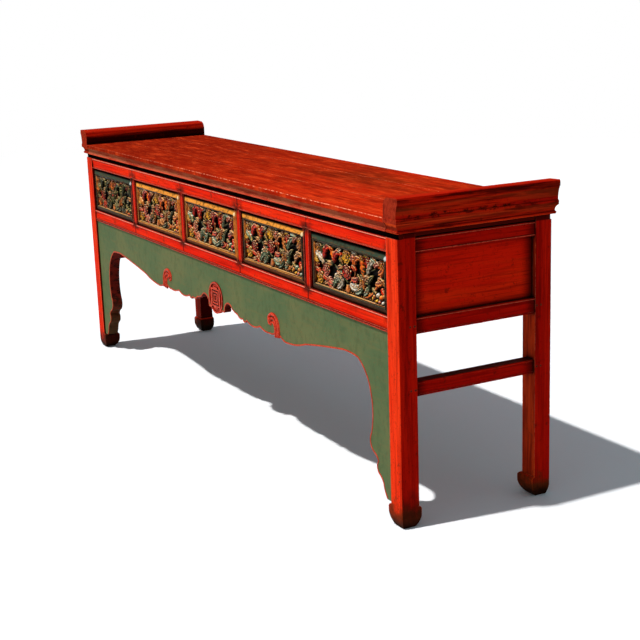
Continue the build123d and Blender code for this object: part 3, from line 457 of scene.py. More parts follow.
def end_bands(coat, outward):
    """Bands along the outer side of an everted end: streaked painted shade under the lip, brown, spotted
    red, and brown again.
    """
    def band(low, high):
        return coat.between(coat.z, low - 0.002, low + 0.002, high - 0.002, high + 0.002)

    outward = coat.both(outward, coat.sides())
    long = coat.noise((2, 2.4, 26), 5.0, 0.65, 27.0)
    spots = coat.noise((40, 40, 60), 5.0, 0.7, 29.0)
    # painted shade under the lip, broken into streaks
    coat.lay((58, 8, 5), outward, band(*END_LIP_SHADE), coat.step(long, 0.36, 0.56), 0.7)
    brown = coat.both(outward, coat.either(*(band(*heights) for heights in END_BROWN)), 0.55)
    coat.lay((136, 42, 17), brown, coat.step(long, 0.36, 0.56))
    spotted = coat.both(outward, band(*END_SPOTTED))
    coat.lay((190, 20, 8), spotted, coat.step(spots, 0.56, 0.44), 0.7)
    coat.lay((34, 6, 4), spotted, coat.step(spots, 0.54, 0.60), 0.85)


def make_black():
    """Black lacquer of the waist."""
    coat = Coat("lacquer_black", roughness=0.6, specular=0.0)
    coat.colour = coat.mix(coat.patches(0.5, 0.7, (12, 12, 60), 5.0), (14, 5, 4), (34, 10, 6))
    coat.lay((84, 14, 7), coat.step(coat.size(coat.facing_x), 0.5, 0.8), 0.8)
    return coat.done()


def make_green():
    """Moss green paint of the apron; its edges and back are dark red-brown, and olive near the feet."""
    coat = Coat("paint_green", roughness=0.6, specular=0.05)
    coat.colour = coat.mix(coat.patches(0.35, 0.65, (5, 5, 5)), (88, 106, 68), (106, 112, 70))
    coat.lay((110, 108, 66), coat.patches(0.48, 0.68, (9, 9, 70), 5.0, shift=5.0), 0.5)
    coat.lay((70, 84, 52), coat.patches(0.48, 0.64, (55, 55, 35), 6.0, 0.68, 12.0), 0.35)
    coat.lay((132, 84, 54), coat.patches(0.58, 0.68, (190, 190, 190), 4.0, 0.7, 2.0), 0.6)
    scars = coat.noise((28, 28, 60), 7.0, 0.72, 8.0)
    coat.lay((128, 62, 40), coat.step(scars, 0.66, 0.72), 0.7)
    # painted shade in corners and gaps
    coat.lay((20, 14, 10), coat.step(coat.openness(0.012), 0.8, 0.3), 0.85)
    edge = coat.mix(coat.step(scars, 0.44, 0.60), (104, 22, 12), (40, 10, 6))
    edge = coat.mix(coat.both(coat.step(coat.z, 0.27, 0.10), 0.85), edge, (66, 48, 24))
    coat.lay(edge, coat.step(coat.facing_y, -0.8, -0.5))
    return coat.done()


def make_border(name, top, side, left, bottom, glint):
    """Bevelled border of a drawer front: each slope has its own paint, which also holds painted light and
    shade, and one mitre has a painted glint.
    """
    coat = Coat(name, roughness=0.45, specular=0.03, colour=side)
    coat.lay(top, coat.step(coat.facing_z, 0.15, 0.3))
    coat.lay(bottom, coat.step(coat.facing_z, -0.15, -0.3))
    coat.lay(left, coat.step(coat.facing_x, -0.15, -0.3))
    coat.lay((120, 70, 30), coat.patches(0.52, 0.66, (30, 30, 200), shift=3.0), 0.5)
    coat.lay((54, 34, 20), coat.patches(0.50, 0.64, (60, 60, 60), 5.0, 0.65), 0.65)
    # painted shade in corners and gaps
    coat.lay(DIRT_AND_SHADE, coat.step(coat.openness(0.012), 0.75, 0.3), 0.9)
    coat.lay((214, 176, 130), coat.arris(0.002), 0.5)
    # painted shade, near black, on what lies deeper than the border's front: its outer sides and the carved
    # field
    coat.lay((8, 4, 3), coat.step(coat.y, apron_face + 0.0015, apron_face + 0.004))
    pores = coat.patches(0.40, 0.66, (14, 14, 380), shift=4.0)
    bare = coat.mix(pores, (140, 100, 64), (92, 60, 36))
    coat.lay(bare, coat.step(coat.facing_y, 0.5, 0.8))
    # painted glint at the top right mitre of each drawer
    in_bay = coat.math("FLOORED_MODULO", coat.math("ADD", coat.x, BAY / 2), BAY)
    corner = coat.node("CombineXYZ", {"X": coat.math("SUBTRACT", in_bay, BAY / 2), "Z": coat.z})
    away = coat.node("VectorMath", {0: corner.outputs["Vector"], 1: GLINT}, operation="DISTANCE")
    coat.lay(glint, coat.step(away.outputs["Value"], 0.0085, 0.0035), 0.85)
    return coat.done()


def make_bare_wood(name, grain):
    """Bare aged softwood of the hidden pieces and the drawer boxes."""
    coat = Coat(name, roughness=0.7, specular=0.15)
    rings = coat.patches(0.38, 0.62, along(grain, 2.5, 55), 5.0)
    coat.colour = coat.mix(rings, (150, 110, 72), (118, 80, 48))
    pores = coat.noise(along(grain, 14, 380), shift=4.0)
    coat.lay((74, 46, 26), coat.step(pores, 0.55, 0.72), 0.6)
    coat.lay((92, 62, 40), coat.patches(0.5, 0.7, (4, 4, 4), 3.0, shift=8.0), 0.4)
    # painted shade in corners and gaps
    coat.lay(DIRT_AND_SHADE, coat.step(coat.openness(0.015), 0.8, 0.3), 0.8)
    return coat.done(pores)


def make_peg_wood():
    """Dark end grain of the tenon pegs."""
    coat = Coat("wood_pegs", roughness=0.7, specular=0.1)
    rings = coat.noise((320, 320, 320))
    coat.colour = coat.mix(coat.step(rings, 0.4, 0.65), (52, 18, 10), (92, 34, 18))
    return coat.done(rings)


def make_paint(name, main, shade, worn, worn_amount):
    """Old paint on carved wood, rubbed on the high places, with painted shade in the deep ones."""
    coat = Coat(name, roughness=0.34, specular=0.03)
    coat.colour = coat.mix(coat.patches(0.36, 0.62, (90, 90, 90)), main, shade)
    grit = coat.noise((420, 420, 420), 4.0, 0.7, 5.0)
    open_amount = coat.openness(0.007)
    coat.lay(worn, coat.step(open_amount, 0.90, 0.99), coat.step(grit, 0.44, 0.58), worn_amount)
    coat.lay(shade, coat.step(grit, 0.58, 0.7), 0.6)
    # painted shade in the deep places
    coat.lay(DEEP_SHADE, coat.step(open_amount, 0.88, 0.45), 0.97)
    return coat.done()


def make_carved_paint(name, main, shade, worn):
    """Paint of the drawer carvings: painted highlight on what looks up, painted shade below and in the deep
    openings.
    """
    coat = Coat(name, roughness=0.3, specular=0.10)
    coat.colour = coat.mix(coat.patches(0.40, 0.58, (120, 120, 120)), main, shade)
    open_amount = coat.openness(0.006)
    upward = coat.math("ADD", coat.facing_z, coat.math("MULTIPLY", coat.facing_x, -LEFT_SHARE))
    # painted highlight on what looks up or left
    coat.lay(worn, coat.step(upward, 0.20, 0.60), coat.step(open_amount, 0.40, 0.70), 0.78)
    # painted shade on what looks down or right
    coat.lay(DEEP_SHADE, coat.step(upward, -0.05, -0.65), 0.75)
    grit = coat.noise((480, 480, 480), 4.0, 0.7, 5.0)
    coat.lay(shade, coat.step(grit, 0.56, 0.68), 0.35)
    # painted shade in the deep openings
    coat.lay(DEEP_SHADE, coat.step(open_amount, 0.95, 0.56), 0.97)
    # painted shade deep in the field behind the carving
    coat.lay(DEEP_SHADE, coat.step(coat.y, carving_lip + 0.0045, carving_lip + 0.0090), 0.92)
    return coat.done(grit, depth=0.0004)


def finishes():
    """Every material by name."""
    made = {name: make_lacquer(name, *values) for name, values in LACQUERS.items()}
    made["lacquer_top"] = make_top_lacquer()
    made["lacquer_end"] = make_end_lacquer()
    made["black"] = make_black()
    made["green"] = make_green()
    made["bare_y"] = make_bare_wood("wood_bare_y", "y")
    made["pegs"] = make_peg_wood()
    for name, colours in SLOPE_LIGHT_AND_SHADE.items():
        made[name] = make_border(name, *colours)
    for name, values in RELIEF_PAINTS.items():
        made[name] = make_paint(*values)
    for name, colours in CARVING_PAINTS.items():
        made[name] = make_carved_paint(f"paint_{name}", *colours)
    return made


# ======== pieces
def finish_name(name):
    """Which material a CAD piece takes."""
    special = {
        "waist_strips": "black", "tenon_pegs": "pegs", "roundel": "carved_red", "top_battens": "bare_y",
    }
    if name in special:
        return special[name]
    if name.startswith("drawer_") and name.endswith("_front"):
        return BORDERS[int(name.split("_")[1])]
    for starts, material in (
        ("leg", "lacquer_z"),
        (("stile", "back_stiles"), "lacquer_stile"),
        ("drawer_", "bare_y"),
        ("end_panel", "lacquer_panel"),
        (("end_", "stretcher"), "lacquer_y"),
        ("top_board", "lacquer_top"),
        ("everted", "lacquer_end"),
        (("apron", "spandrel"), "green"),
    ):
        if name.startswith(starts):
            return material
    return "lacquer_x"


def soften(piece, width):
    """Worn arrises: welds the imported faces and rounds their sharp edges."""
    weld = piece.modifiers.new("weld", "WELD")
    weld.merge_threshold = 0.00001
    round_off = piece.modifiers.new("arrises", "BEVEL")
    round_off.width = width
    round_off.segments = 2
    round_off.limit_method = "ANGLE"
    round_off.angle_limit = math.radians(35)
    round_off.harden_normals = False
    shade = piece.modifiers.new("shading", "WEIGHTED_NORMAL")
    shade.keep_sharp = True


def finish_cad_pieces(made):
    """Gives each CAD piece its material, and worn arrises where it shows."""
    for name, piece in nodes.items():
        piece.data.materials.clear()
        piece.data.materials.append(made[finish_name(name)])
        if not name.startswith("drawer_") or name.endswith("_front"):
            soften(piece, 1.0 * MM)


def mesh_piece(name, mesh, materials, recalc=True):
    """Ends a mesh: one object with its materials."""
    if recalc:
        bmesh.ops.recalc_face_normals(mesh, faces=mesh.faces)
    data = bpy.data.meshes.new(name)
    mesh.to_mesh(data)
    mesh.free()
    for material in materials:
        data.materials.append(material)
    piece = bpy.data.objects.new(name, data)
    bpy.context.scene.collection.objects.link(piece)
    return piece


# ======== relief carving
def catches_light(u, v):
    """Above 0 for edges that look up or to the left, where a highlight is painted."""
    return v - LEFT_SHARE * u


class Relief:
    """Carved relief on the front: u to the right, v up, w outwards from the panel's lip."""

    def __init__(self, origin, floor, paints, rim=None):
        self.mesh = bmesh.new()
        self.origin = origin
        self.floor = floor
        self.paints = paints
        self.rim = rim

    def point(self, u, v, w):
        """Vertex at a place on the panel, given in millimetres."""
        return self.mesh.verts.new(self.origin + Vector((u * MM, -w * MM, v * MM)))

    def face(self, corners, paint):
        """One face with the material of a paint."""
        made = self.mesh.faces.new(corners)
        made.material_index = self.paints.index(paint)
        made.smooth = True

    def solid(self, rows, paint, rims=(), rim=None):
        """Closed relief under a grid of (u, v, w) points, with sides down to the panel's floor."""
        top = [[self.point(*p) for p in row] for row in rows]
        low = [[self.point(p[0], p[1], self.floor) for p in (row[0], row[-1])] for row in rows]
        for i in range(len(rows) - 1):
            for j in range(len(rows[0]) - 1):
                corners = (top[i][j], top[i + 1][j], top[i + 1][j + 1], top[i][j + 1])
                self.face(corners, rim if (i, j) in rims else paint)
            self.face((low[i][0], low[i + 1][0], top[i + 1][0], top[i][0]), paint)
            self.face((top[i][-1], top[i + 1][-1], low[i + 1][1], low[i][1]), paint)
            self.face((low[i][0], low[i][1], low[i + 1][1], low[i + 1][0]), paint)
        for i in (0, -1):
            self.face([low[i][0], *top[i], low[i][1]], paint)

    def disc(self, u, v, w, outline, height, paint, spokes=18, shares=(0.25, 0.5, 0.75, 1.0), rim=None):
        """Closed round relief: outline(angle) gives its radius, height(share, angle) its swell."""
        centre = self.point(u, v, w + height(0, 0))
        angles = around(spokes)

        def ring(share, rise):
            places = [(a, share * outline(a)) for a in angles]
            return [self.point(u + r * math.cos(a), v + r * math.sin(a), rise(a)) for a, r in places]

        rows = [ring(share, lambda a: w + height(share, a)) for share in shares]
        rows.append(ring(1.0, lambda a: self.floor))
        under = self.point(u, v, self.floor)
        for i in range(spokes):
            j = (i + 1) % spokes
            self.face((centre, rows[0][i], rows[0][j]), paint)
            for k, (inner, outer) in enumerate(zip(rows, rows[1:])):
                # the outer rim takes a painted highlight where it looks up or left
                lit = catches_light(math.cos(angles[i]), math.sin(angles[i])) > 0.0
                rimmed = rim and lit and k == len(rows) - 3
                self.face((inner[i], outer[i], outer[j], inner[j]), rim if rimmed else paint)
            self.face((rows[-1][i], under, rows[-1][j]), paint)

    def petal(self, u, v, w, length, width, angle, paint, lift=0.0):
        """Hollow petal with a notch at its tip and a raised rim, painted with a highlight where it looks up
        or left.
        """
        turn = math.radians(angle)

        def outline(a):
            local = a - turn
            notch = 1 - 0.14 * math.exp(-((math.remainder(local, 2 * math.pi) / 0.35) ** 2))
            return notch / math.hypot(math.cos(local) / (length / 2), math.sin(local) / (width / 2))

        def height(share, a):
            bowl = 0.30 * width * (0.45 + 0.75 * share * share) if share < 0.9 else 0.08 * width
            return bowl + lift * share * math.cos(a - turn)

        self.disc(u, v, w, outline, height, paint, spokes=14, shares=(0.35, 0.66, 0.84, 1.0), rim=self.rim)

    def flower(self, u, v, radius, petals, paint, heart, w=-5.0, turn=0.0):
        """Open flower: two rings of petals round a heart of seeds."""
        rings = [
            # share of the radius, petal length, count, turn in petals, rise
            (0.68, 0.62, petals, 0.0, -3.5),
            (0.40, 0.46, petals - 1, 0.5, -1.0),
        ]
        for place, size, count, phase, rise in rings:
            for i in range(count):
                angle = turn + 360 * (i + phase) / count
                x = u + place * radius * math.cos(math.radians(angle))
                y = v + place * radius * math.sin(math.radians(angle))
                width = 2 * math.pi * place * radius / count * 1.05
                self.petal(x, y, w + rise, size * radius, width, angle, paint, lift=1.4)
        self.bead(u, v, 0.12 * radius, heart, w + 1.6)
        seeds, reach = 5, 0.17 * radius
        for i in range(seeds):
            a = math.radians(turn + 360 / seeds * i)
            self.bead(u + reach * math.cos(a), v + reach * math.sin(a), 0.09 * radius, heart, w + 1.2)

    def bead(self, u, v, radius, paint, w=-4.0):
        """Round bead or pearl."""
        self.disc(
            u, v, w,
            lambda a: radius,
            lambda share, a: 0.9 * radius * math.sqrt(max(0.0, 1 - share * share)),
            paint, spokes=10, shares=(0.4, 0.75, 1.0),
        )

    def leaf(self, u, v, length, width, angle, paint, bend=40.0, w=-6.0, lobes=4):
        """Toothed hollow leaf with raised rims, painted with a highlight on the side that looks up or left;
        it curls by the bend, most of all near its tip.
        """
        steps = 4 * lobes
        heading = math.radians(angle)
        profile = [(-1.0, 0.0), (-0.88, 0.72), (-0.66, 0.95), (-0.34, 0.52), (0.0, 0.34)]
        profile += [(-t, up) for t, up in reversed(profile[:-1])]
        rows, rims = [], set()
        x, y = u, v
        for i in range(steps + 1):
            share = i / steps
            body = math.sin(math.pi * min(0.985, 0.10 + share * 0.89)) ** 0.65
            tooth = (0.0, 0.45, 0.80, 1.0)[i % 4] if i < steps else 0.0
            half = width / 2 * body * (0.58 + 0.50 * tooth)
            side = Vector((-math.sin(heading), math.cos(heading)))
            row = []
            for t, up in profile:
                swell = up * (0.5 + 0.5 * math.sin(math.pi * share))
                vein = 0.30 * (tooth - 0.5) * abs(t)
                sweep = 0.16 * length / lobes * abs(t)
                row.append((
                    x + t * half * side.x + sweep * math.cos(heading),
                    y + t * half * side.y + sweep * math.sin(heading),
                    w + 0.34 * width * (swell + vein),
                ))
            rows.append(row)
            # the rim on the side that looks up or left takes a painted highlight
            if self.rim and abs(catches_light(side.x, side.y)) > 0.1:
                rims.add((i, 6 if catches_light(side.x, side.y) > 0 else 1))
            x += math.cos(heading) * length / steps
            y += math.sin(heading) * length / steps
            heading += math.radians(bend) * (0.35 + 1.3 * share) / steps
        self.solid(rows, paint, rims=rims, rim=self.rim)

    def stem(self, points, radius, paint, w=-6.0, end_share=0.6):
        """Rounded stem along a smooth line through the points, thinner at its far end."""
        path = smooth(points, 6)
        rows = []
        for i, (x, y) in enumerate(path):
            side = leftwards(path, i)
            reach = radius * (1 - (1 - end_share) * i / (len(path) - 1))
            rows.append([
                (x - reach * math.cos(a) * side.x, y - reach * math.cos(a) * side.y, w + reach * math.sin(a))
                for a in (math.pi * j / 4 for j in range(5))
            ])
        self.solid(rows, paint)

    def piece(self, name, made):
        """Ends the relief: one object with the materials of its paints."""
        return mesh_piece(name, self.mesh, [made[paint] for paint in self.paints])


def around(count):
    """Evenly spaced angles of a full turn."""
    return [2 * math.pi * i / count for i in range(count)]


def leftwards(line, i):
    """Direction to the left of a line of points at one of them."""
    ahead = Vector(line[min(i + 1, len(line) - 1)]) - Vector(line[max(i - 1, 0)])
    return Vector((-ahead.y, ahead.x)).normalized()


def strips(sections):
    """Faces between closed sections of vertices, each joined to the next."""
    for a, b in zip(sections, sections[1:]):
        for j in range(len(a)):
            k = (j + 1) % len(a)
            yield a[j], b[j], b[k], a[k]


def smooth(points, steps):
    """Points of a Catmull-Rom line through the given ones."""
    line = []
    padded = [points[0], *points, points[-1]]
    for a, b, c, d in zip(padded, padded[1:], padded[2:], padded[3:]):
        for i in range(steps):
            t = i / steps
            line.append(tuple(
                0.5 * (2 * q + (r - p) * t + (2 * p - 5 * q + 4 * r - s) * t * t
                       + (3 * q - p - 3 * r + s) * t ** 3)
                for p, q, r, s in zip(a, b, c, d)
            ))
    line.append(tuple(points[-1]))
    return line


# The carved garden of a drawer front, in millimetres from the middle of its field.
FLOWERS = [
    # u, v, radius, petals, paint, heart
    (-178, 46, 18, 6, "tan", "gold"),
    (-186, -6, 11, 5, "vermilion", "gold"),
    (-134, -14, 21, 7, "mauve", "pink"),
    (-172, -40, 20, 6, "gold", "tan"),
    (-14, 42, 22, 8, "gold", "gold"),
    (-44, 34, 12, 5, "gold", "tan"),
    (-12, 0, 24, 8, "crimson", "pink"),
    (68, 50, 14, 6, "orange", "gold"),
    (103, 44, 17, 6, "vermilion", "pink"),
    (68, -12, 14, 6, "tan", "gold"),
    (176, 46, 17, 6, "orange", "gold"),
]
LEAVES = [
    # u, v, length, width, angle, paint, bend
    (-192, 30, 58, 22, -14, "white", -60),
    (-200, 20, 28, 14, -60, "gold", 60),
    (-160, 54, 30, 15, 20, "moss", -60),
    (-143, 16, 72, 19, 88, "vermilion", -150),
    (-150, 30, 34, 13, 100, "moss", 60),
    (-104, 60, 48, 17, -76, "orange", 40),
    (-84, 12, 70, 19, 96, "vermilion", -160),
    (-92, 6, 34, 14, 150, "tan", 60),
    (-98, 62, 30, 12, 10, "moss", -40),
    (-40, 58, 34, 14, -170, "white", 50),
    (-36, 12, 30, 14, 120, "moss", 70),
    (-26, 64, 34, 13, 0, "tan", -40),
    (14, 30, 34, 15, 70, "pink", -60),
    (16, 60, 30, 13, 20, "white", -60),
    (26, 4, 74, 19, 88, "orange", -150),
    (74, 46, 50, 18, -78, "orange", 40),
    (80, 62, 34, 13, 0, "gold", 50),
    (86, 28, 34, 15, -100, "moss", 60),
    (98, 6, 72, 18, 66, "white", -50),
    (120, 58, 40, 15, 10, "teal", -60),
    (140, 34, 34, 15, 60, "pink", -90),
    (134, 10, 36, 15, -150, "moss", 50),
    (110, 6, 34, 15, 200, "tan", 60),
    (158, 22, 38, 17, 20, "orange", 60),
    (152, 4, 46, 17, 8, "tan", -60),
    (140, -10, 48, 18, 6, "orange", 40),
    (176, -16, 30, 15, -60, "vermilion", 60),
    (126, -26, 34, 14, -10, "moss", -70),
    (14, -14, 40, 18, -20, "crimson", 80),
    (12, 18, 30, 14, 10, "vermilion", -70),
    (-34, -14, 36, 17, 200, "crimson", -80),
    (-36, 6, 30, 14, 165, "tan", 60),
    (-202, -22, 38, 15, 10, "vermilion", -60),
    (-116, -30, 34, 16, -50, "mauve", 60),
    (-124, -34, 46, 18, -70, "mauve", 70),
    (-148, -30, 32, 14, -40, "vermilion", 60),
    (-146, -57, 44, 14, 8, "tan", 50),
    (-94, -60, 70, 20, 58, "teal", -70),
    (-80, -42, 52, 20, 62, "white", -120),
    (-44, -4, 44, 17, -120, "teal", 80),
    (-68, -57, 50, 17, 18, "white", 80),
    (-30, -34, 38, 16, 170, "white", -70),
    (-108, 2, 34, 14, 20, "moss", 60),
    (6, -32, 50, 19, -40, "white", 80),
    (30, -54, 52, 17, 2, "teal", 70),
    (24, -26, 38, 16, -20, "white", -60),
    (50, -34, 34, 15, 10, "tan", 60),
    (78, -52, 52, 17, 20, "teal", 80),
    (84, -40, 62, 16, 100, "tan", -150),
    (84, -8, 34, 15, -20, "moss", 60),
    (118, -52, 40, 15, 132, "orange", 60),
    (44, 2, 30, 14, -40, "moss", 60),
]
STEMS = [
    # points, radius, paint
    ([(188, 38), (168, 8), (146, -22), (118, -46), (84, -60)], 5.5, "orange"),
    ([(-8, -34), (-40, -14), (-70, -2), (-96, 16), (-128, 12), (-166, 20)], 3.4, "moss"),
    ([(4, -30), (30, -6), (28, 22), (20, 44), (4, 58)], 3.4, "tan"),
    ([(-60, -44), (-100, -46), (-140, -40), (-180, -24)], 3.2, "tan"),
    ([(60, 0), (84, 2), (104, 16), (140, 30)], 3.2, "moss"),
]
PEARLS = [
    # u, v, radius, paint
    (140, -46, 8.0, "tan"),
    (157, -40, 7.5, "white"),
    (174, -44, 8.0, "orange"),
    (190, -38, 7.0, "tan"),
    (150, -57, 6.0, "gold"),
    (166, -57, 6.0, "pink"),
    (182, -58, 6.0, "white"),
    (196, -54, 5.0, "moss"),
    (26, 48, 6.0, "pink"),
    (-152, 2, 5.0, "gold"),
    (-8, 64, 4.0, "tan"),
    (130, -52, 5.0, "gold"),
]
PAINT_SWAPS = {
    1: {"vermilion": "moss", "crimson": "moss", "mauve": "crimson", "orange": "moss",
        "pink": "crimson", "white": "moss", "teal": "moss", "gold": "orange"},
    2: {"vermilion": "crimson", "teal": "moss", "white": "tan"},
    3: {"orange": "crimson", "white": "teal", "mauve": "pink"},
    4: {"mauve": "crimson", "orange": "tan", "white": "teal"},
    5: {},
}


def make_carving(number, made):
    """Openwork garden of one drawer: flowers, leaves, stems, pearls and a vase."""
    low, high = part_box(f"drawer_{number}_carving")
    origin = Vector(((low.x + high.x) / 2, low.y, (low.z + high.z) / 2))
    depth = (high.y - low.y) / MM
    half_u = (high.x - low.x) / 2 / MM
    half_v = (high.z - low.z) / 2 / MM
    chance = random.Random(number)
    swap = PAINT_SWAPS[number]
    relief = Relief(origin, -depth, list(CARVING_PAINTS), rim="rim_dark" if number == 1 else "rim")

    def paint(name):
        return swap.get(name, name)

    def sway(reach):
        return chance.uniform(-reach, reach)

    for points, radius, colour in STEMS:
        relief.stem(points, radius, paint(colour), w=-8.5)
    for u, v, length, width, angle, colour, bend in LEAVES:
        relief.leaf(
            u + sway(1.5), v + sway(1.5), length, width, angle + sway(8),
            paint(colour), bend, w=-6.5 + sway(1.5),
        )
    for u, v, radius, petals, colour, heart in FLOWERS:
        relief.flower(u + sway(2), v + sway(2), radius, petals, paint(colour), paint(heart), turn=sway(30))
    for u, v, radius, colour in PEARLS:
        relief.bead(u, v, radius, paint(colour), w=-7.0)
    vase(relief, -8, -63, paint("tan"))
    rail, edge, row, margin = 3.0, 2.0, 34, 8
    for i in range(row):
        place = -half_u + margin + i * (2 * half_u - 2 * margin) / (row - 1)
        relief.bead(place, -half_v + rail + 3.5, 3.4, paint("tan"), w=-9.0)
    for u_range, v_range, colour in (
        ((-half_u, half_u), (-half_v, -half_v + rail), "tan"),
        ((-half_u, half_u), (half_v - edge, half_v), "moss"),
        ((-half_u, -half_u + edge), (-half_v, half_v), "tan"),
        ((half_u - edge, half_u), (-half_v, half_v), "tan"),
    ):
        relief.solid([[(u, v, -1.0) for v in v_range] for u in u_range], paint(colour))
    clip_to(relief.mesh, origin, half_u * MM, half_v * MM)
    piece = relief.piece(f"carving_{number}", made)
    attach(piece, f"drawer_{number}")
    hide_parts(f"drawer_{number}_carving")


def vase(relief, u, v, paint):
    """Small waisted vase at the foot of the stems."""
    profile = [(7, 0), (9, 4), (11, 11), (9.5, 17), (6, 21), (8, 25)]
    angles = (-1.57, -0.8, 0, 0.8, 1.57)
    relief.solid([
        [(u + half * math.sin(a), v + up, -5.0 + 0.35 * half * math.cos(a)) for a in angles]
        for half, up in profile
    ], paint)


def clip_to(mesh, origin, half_u, half_v):
    """Keeps the relief inside its field: what reaches past the edge is pulled back to it."""
    for vert in mesh.verts:
        vert.co.x = min(max(vert.co.x, origin.x - half_u), origin.x + half_u)
        vert.co.z = min(max(vert.co.z, origin.z - half_v), origin.z + half_v)
        vert.co.y = max(vert.co.y, origin.y)


# ======== scroll leaves of the apron
def make_scroll(side_name, made):
    """Carved leaf of the apron: fluted strands that rise from a tail and roll into a head."""
    low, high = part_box(f"scroll_{side_name}")
    side = 1 if side_name == "right" else -1
    origin = Vector(((low.x + high.x) / 2, apron_face, (low.z + high.z) / 2))
    relief = Relief(origin, 0.0, ["carved_red"])
    strands = [
        [(38, -38), (38, -12), (34, 8), (22, 24), (2, 31),
         (-18, 27), (-31, 15), (-30, 0), (-18, -4), (-14, 6)],
        [(28, -38), (27, -14), (22, 4), (10, 15), (-4, 18), (-14, 12)],
        [(17, -38), (17, -20), (13, -6), (4, 3), (-6, 4)],
    ]
    for points, radius in zip(strands, (7.5, 7.5, 7.0)):
        relief.stem([(side * u, v) for u, v in points], radius, "carved_red", w=-1.0, end_share=0.7)
    relief.bead(side * -20, 11, 10.0, "carved_red", w=-1.5)
    relief.leaf(side * 4, -40, 46, 13, 90 - side * 80, "carved_red", bend=side * 40, w=-0.5)
    piece = relief.piece(f"scroll_leaf_{side_name}", made)
    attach(piece, "frame")
    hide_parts(f"scroll_{side_name}")


# ======== red line of the apron
def front_outline(name):
    """Edges of a board's front face, as pairs of (x, z) rounded to a hundredth of a millimetre."""
    mesh = bmesh.new()
    mesh.from_mesh(nodes[name].data)
    bmesh.ops.remove_doubles(mesh, verts=mesh.verts, dist=0.00001)
    edges = []
    for edge in mesh.edges:
        if any(abs(v.co.y - apron_face) > 0.00005 for v in edge.verts):
            continue
        front = [f for f in edge.link_faces if f.normal.y < -0.99]
        if len(front) == 1 and len(edge.link_faces) == 2:
            edges.append(tuple((round(v.co.x, 5), round(v.co.z, 5)) for v in edge.verts))
    mesh.free()
    return edges


def lower_edges():
    """Edges of the apron's lower outline: not its top, its joints, its legs or the roundel's seat."""
    joints = [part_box(n)[i].x for n in ("apron_centre", "apron_left", "apron_right") for i in (0, 1)]
    joints += [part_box("spandrel_left")[0].x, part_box("spandrel_right")[1].x]
    middle = ((roundel_box[0].x + roundel_box[1].x) / 2, (roundel_box[0].z + roundel_box[1].z) / 2)
    seat = (roundel_box[1].x - roundel_box[0].x) / 2 + 0.0012
    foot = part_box("spandrel_left")[0].z
    kept = []
    for name in ("spandrel_left", "apron_left", "apron_centre", "apron_right", "spandrel_right"):
        for a, b in front_outline(name):
            on_top = min(a[1], b[1]) > apron_top - 0.0001
            on_foot = max(a[1], b[1]) < foot + 0.0001
            upright = abs(a[0] - b[0]) < 0.00002 and any(abs(a[0] - x) < 0.0001 for x in joints)
            seated = all(math.dist(p, middle) < seat for p in (a, b))
            if not (on_top or on_foot or upright or seated):
                kept.append((a, b))
    return kept


def chains(edges):
    """Joins edges end to end into lines of points."""
    near = {}
    for a, b in edges:
        near.setdefault(a, []).append(b)
        near.setdefault(b, []).append(a)
    lines, seen = [], set()
    for start in sorted(p for p, others in near.items() if len(others) == 1):
        line, ways = [], [start] if start not in seen else []
        while ways:
            line.append(ways[0])
            seen.add(ways[0])
            ways = [p for p in near[line[-1]] if p not in seen]
        if len(line) > 2:
            lines.append(line)
    return lines


def make_edge_line(made):
    """Raised vermilion line that follows the lower outline of the apron and the spandrels."""
    width, rise = 0.0052, 0.0016
    profile = ((0.02, -0.4), (0.02, 0.35), (0.25, 0.85), (0.5, 1.0), (0.75, 0.85), (1.0, 0.1), (1.0, -0.4))
    mesh = bmesh.new()
    for line in chains(lower_edges()):
        if line[0][0] > line[-1][0]:
            line.reverse()
        sections = []
        for i, (x, z) in enumerate(line):
            inward = leftwards(line, i) * width
            sections.append([
                mesh.verts.new((x + inward.x * share, apron_face - rise * up, z + inward.y * share))
                for share, up in profile
            ])
        for corners in strips(sections):
            mesh.faces.new(corners).smooth = True
        mesh.faces.new(sections[0])
        mesh.faces.new(sections[-1])
    piece = mesh_piece("apron_edge_line", mesh, [made["line_red"]])
    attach(piece, "frame")


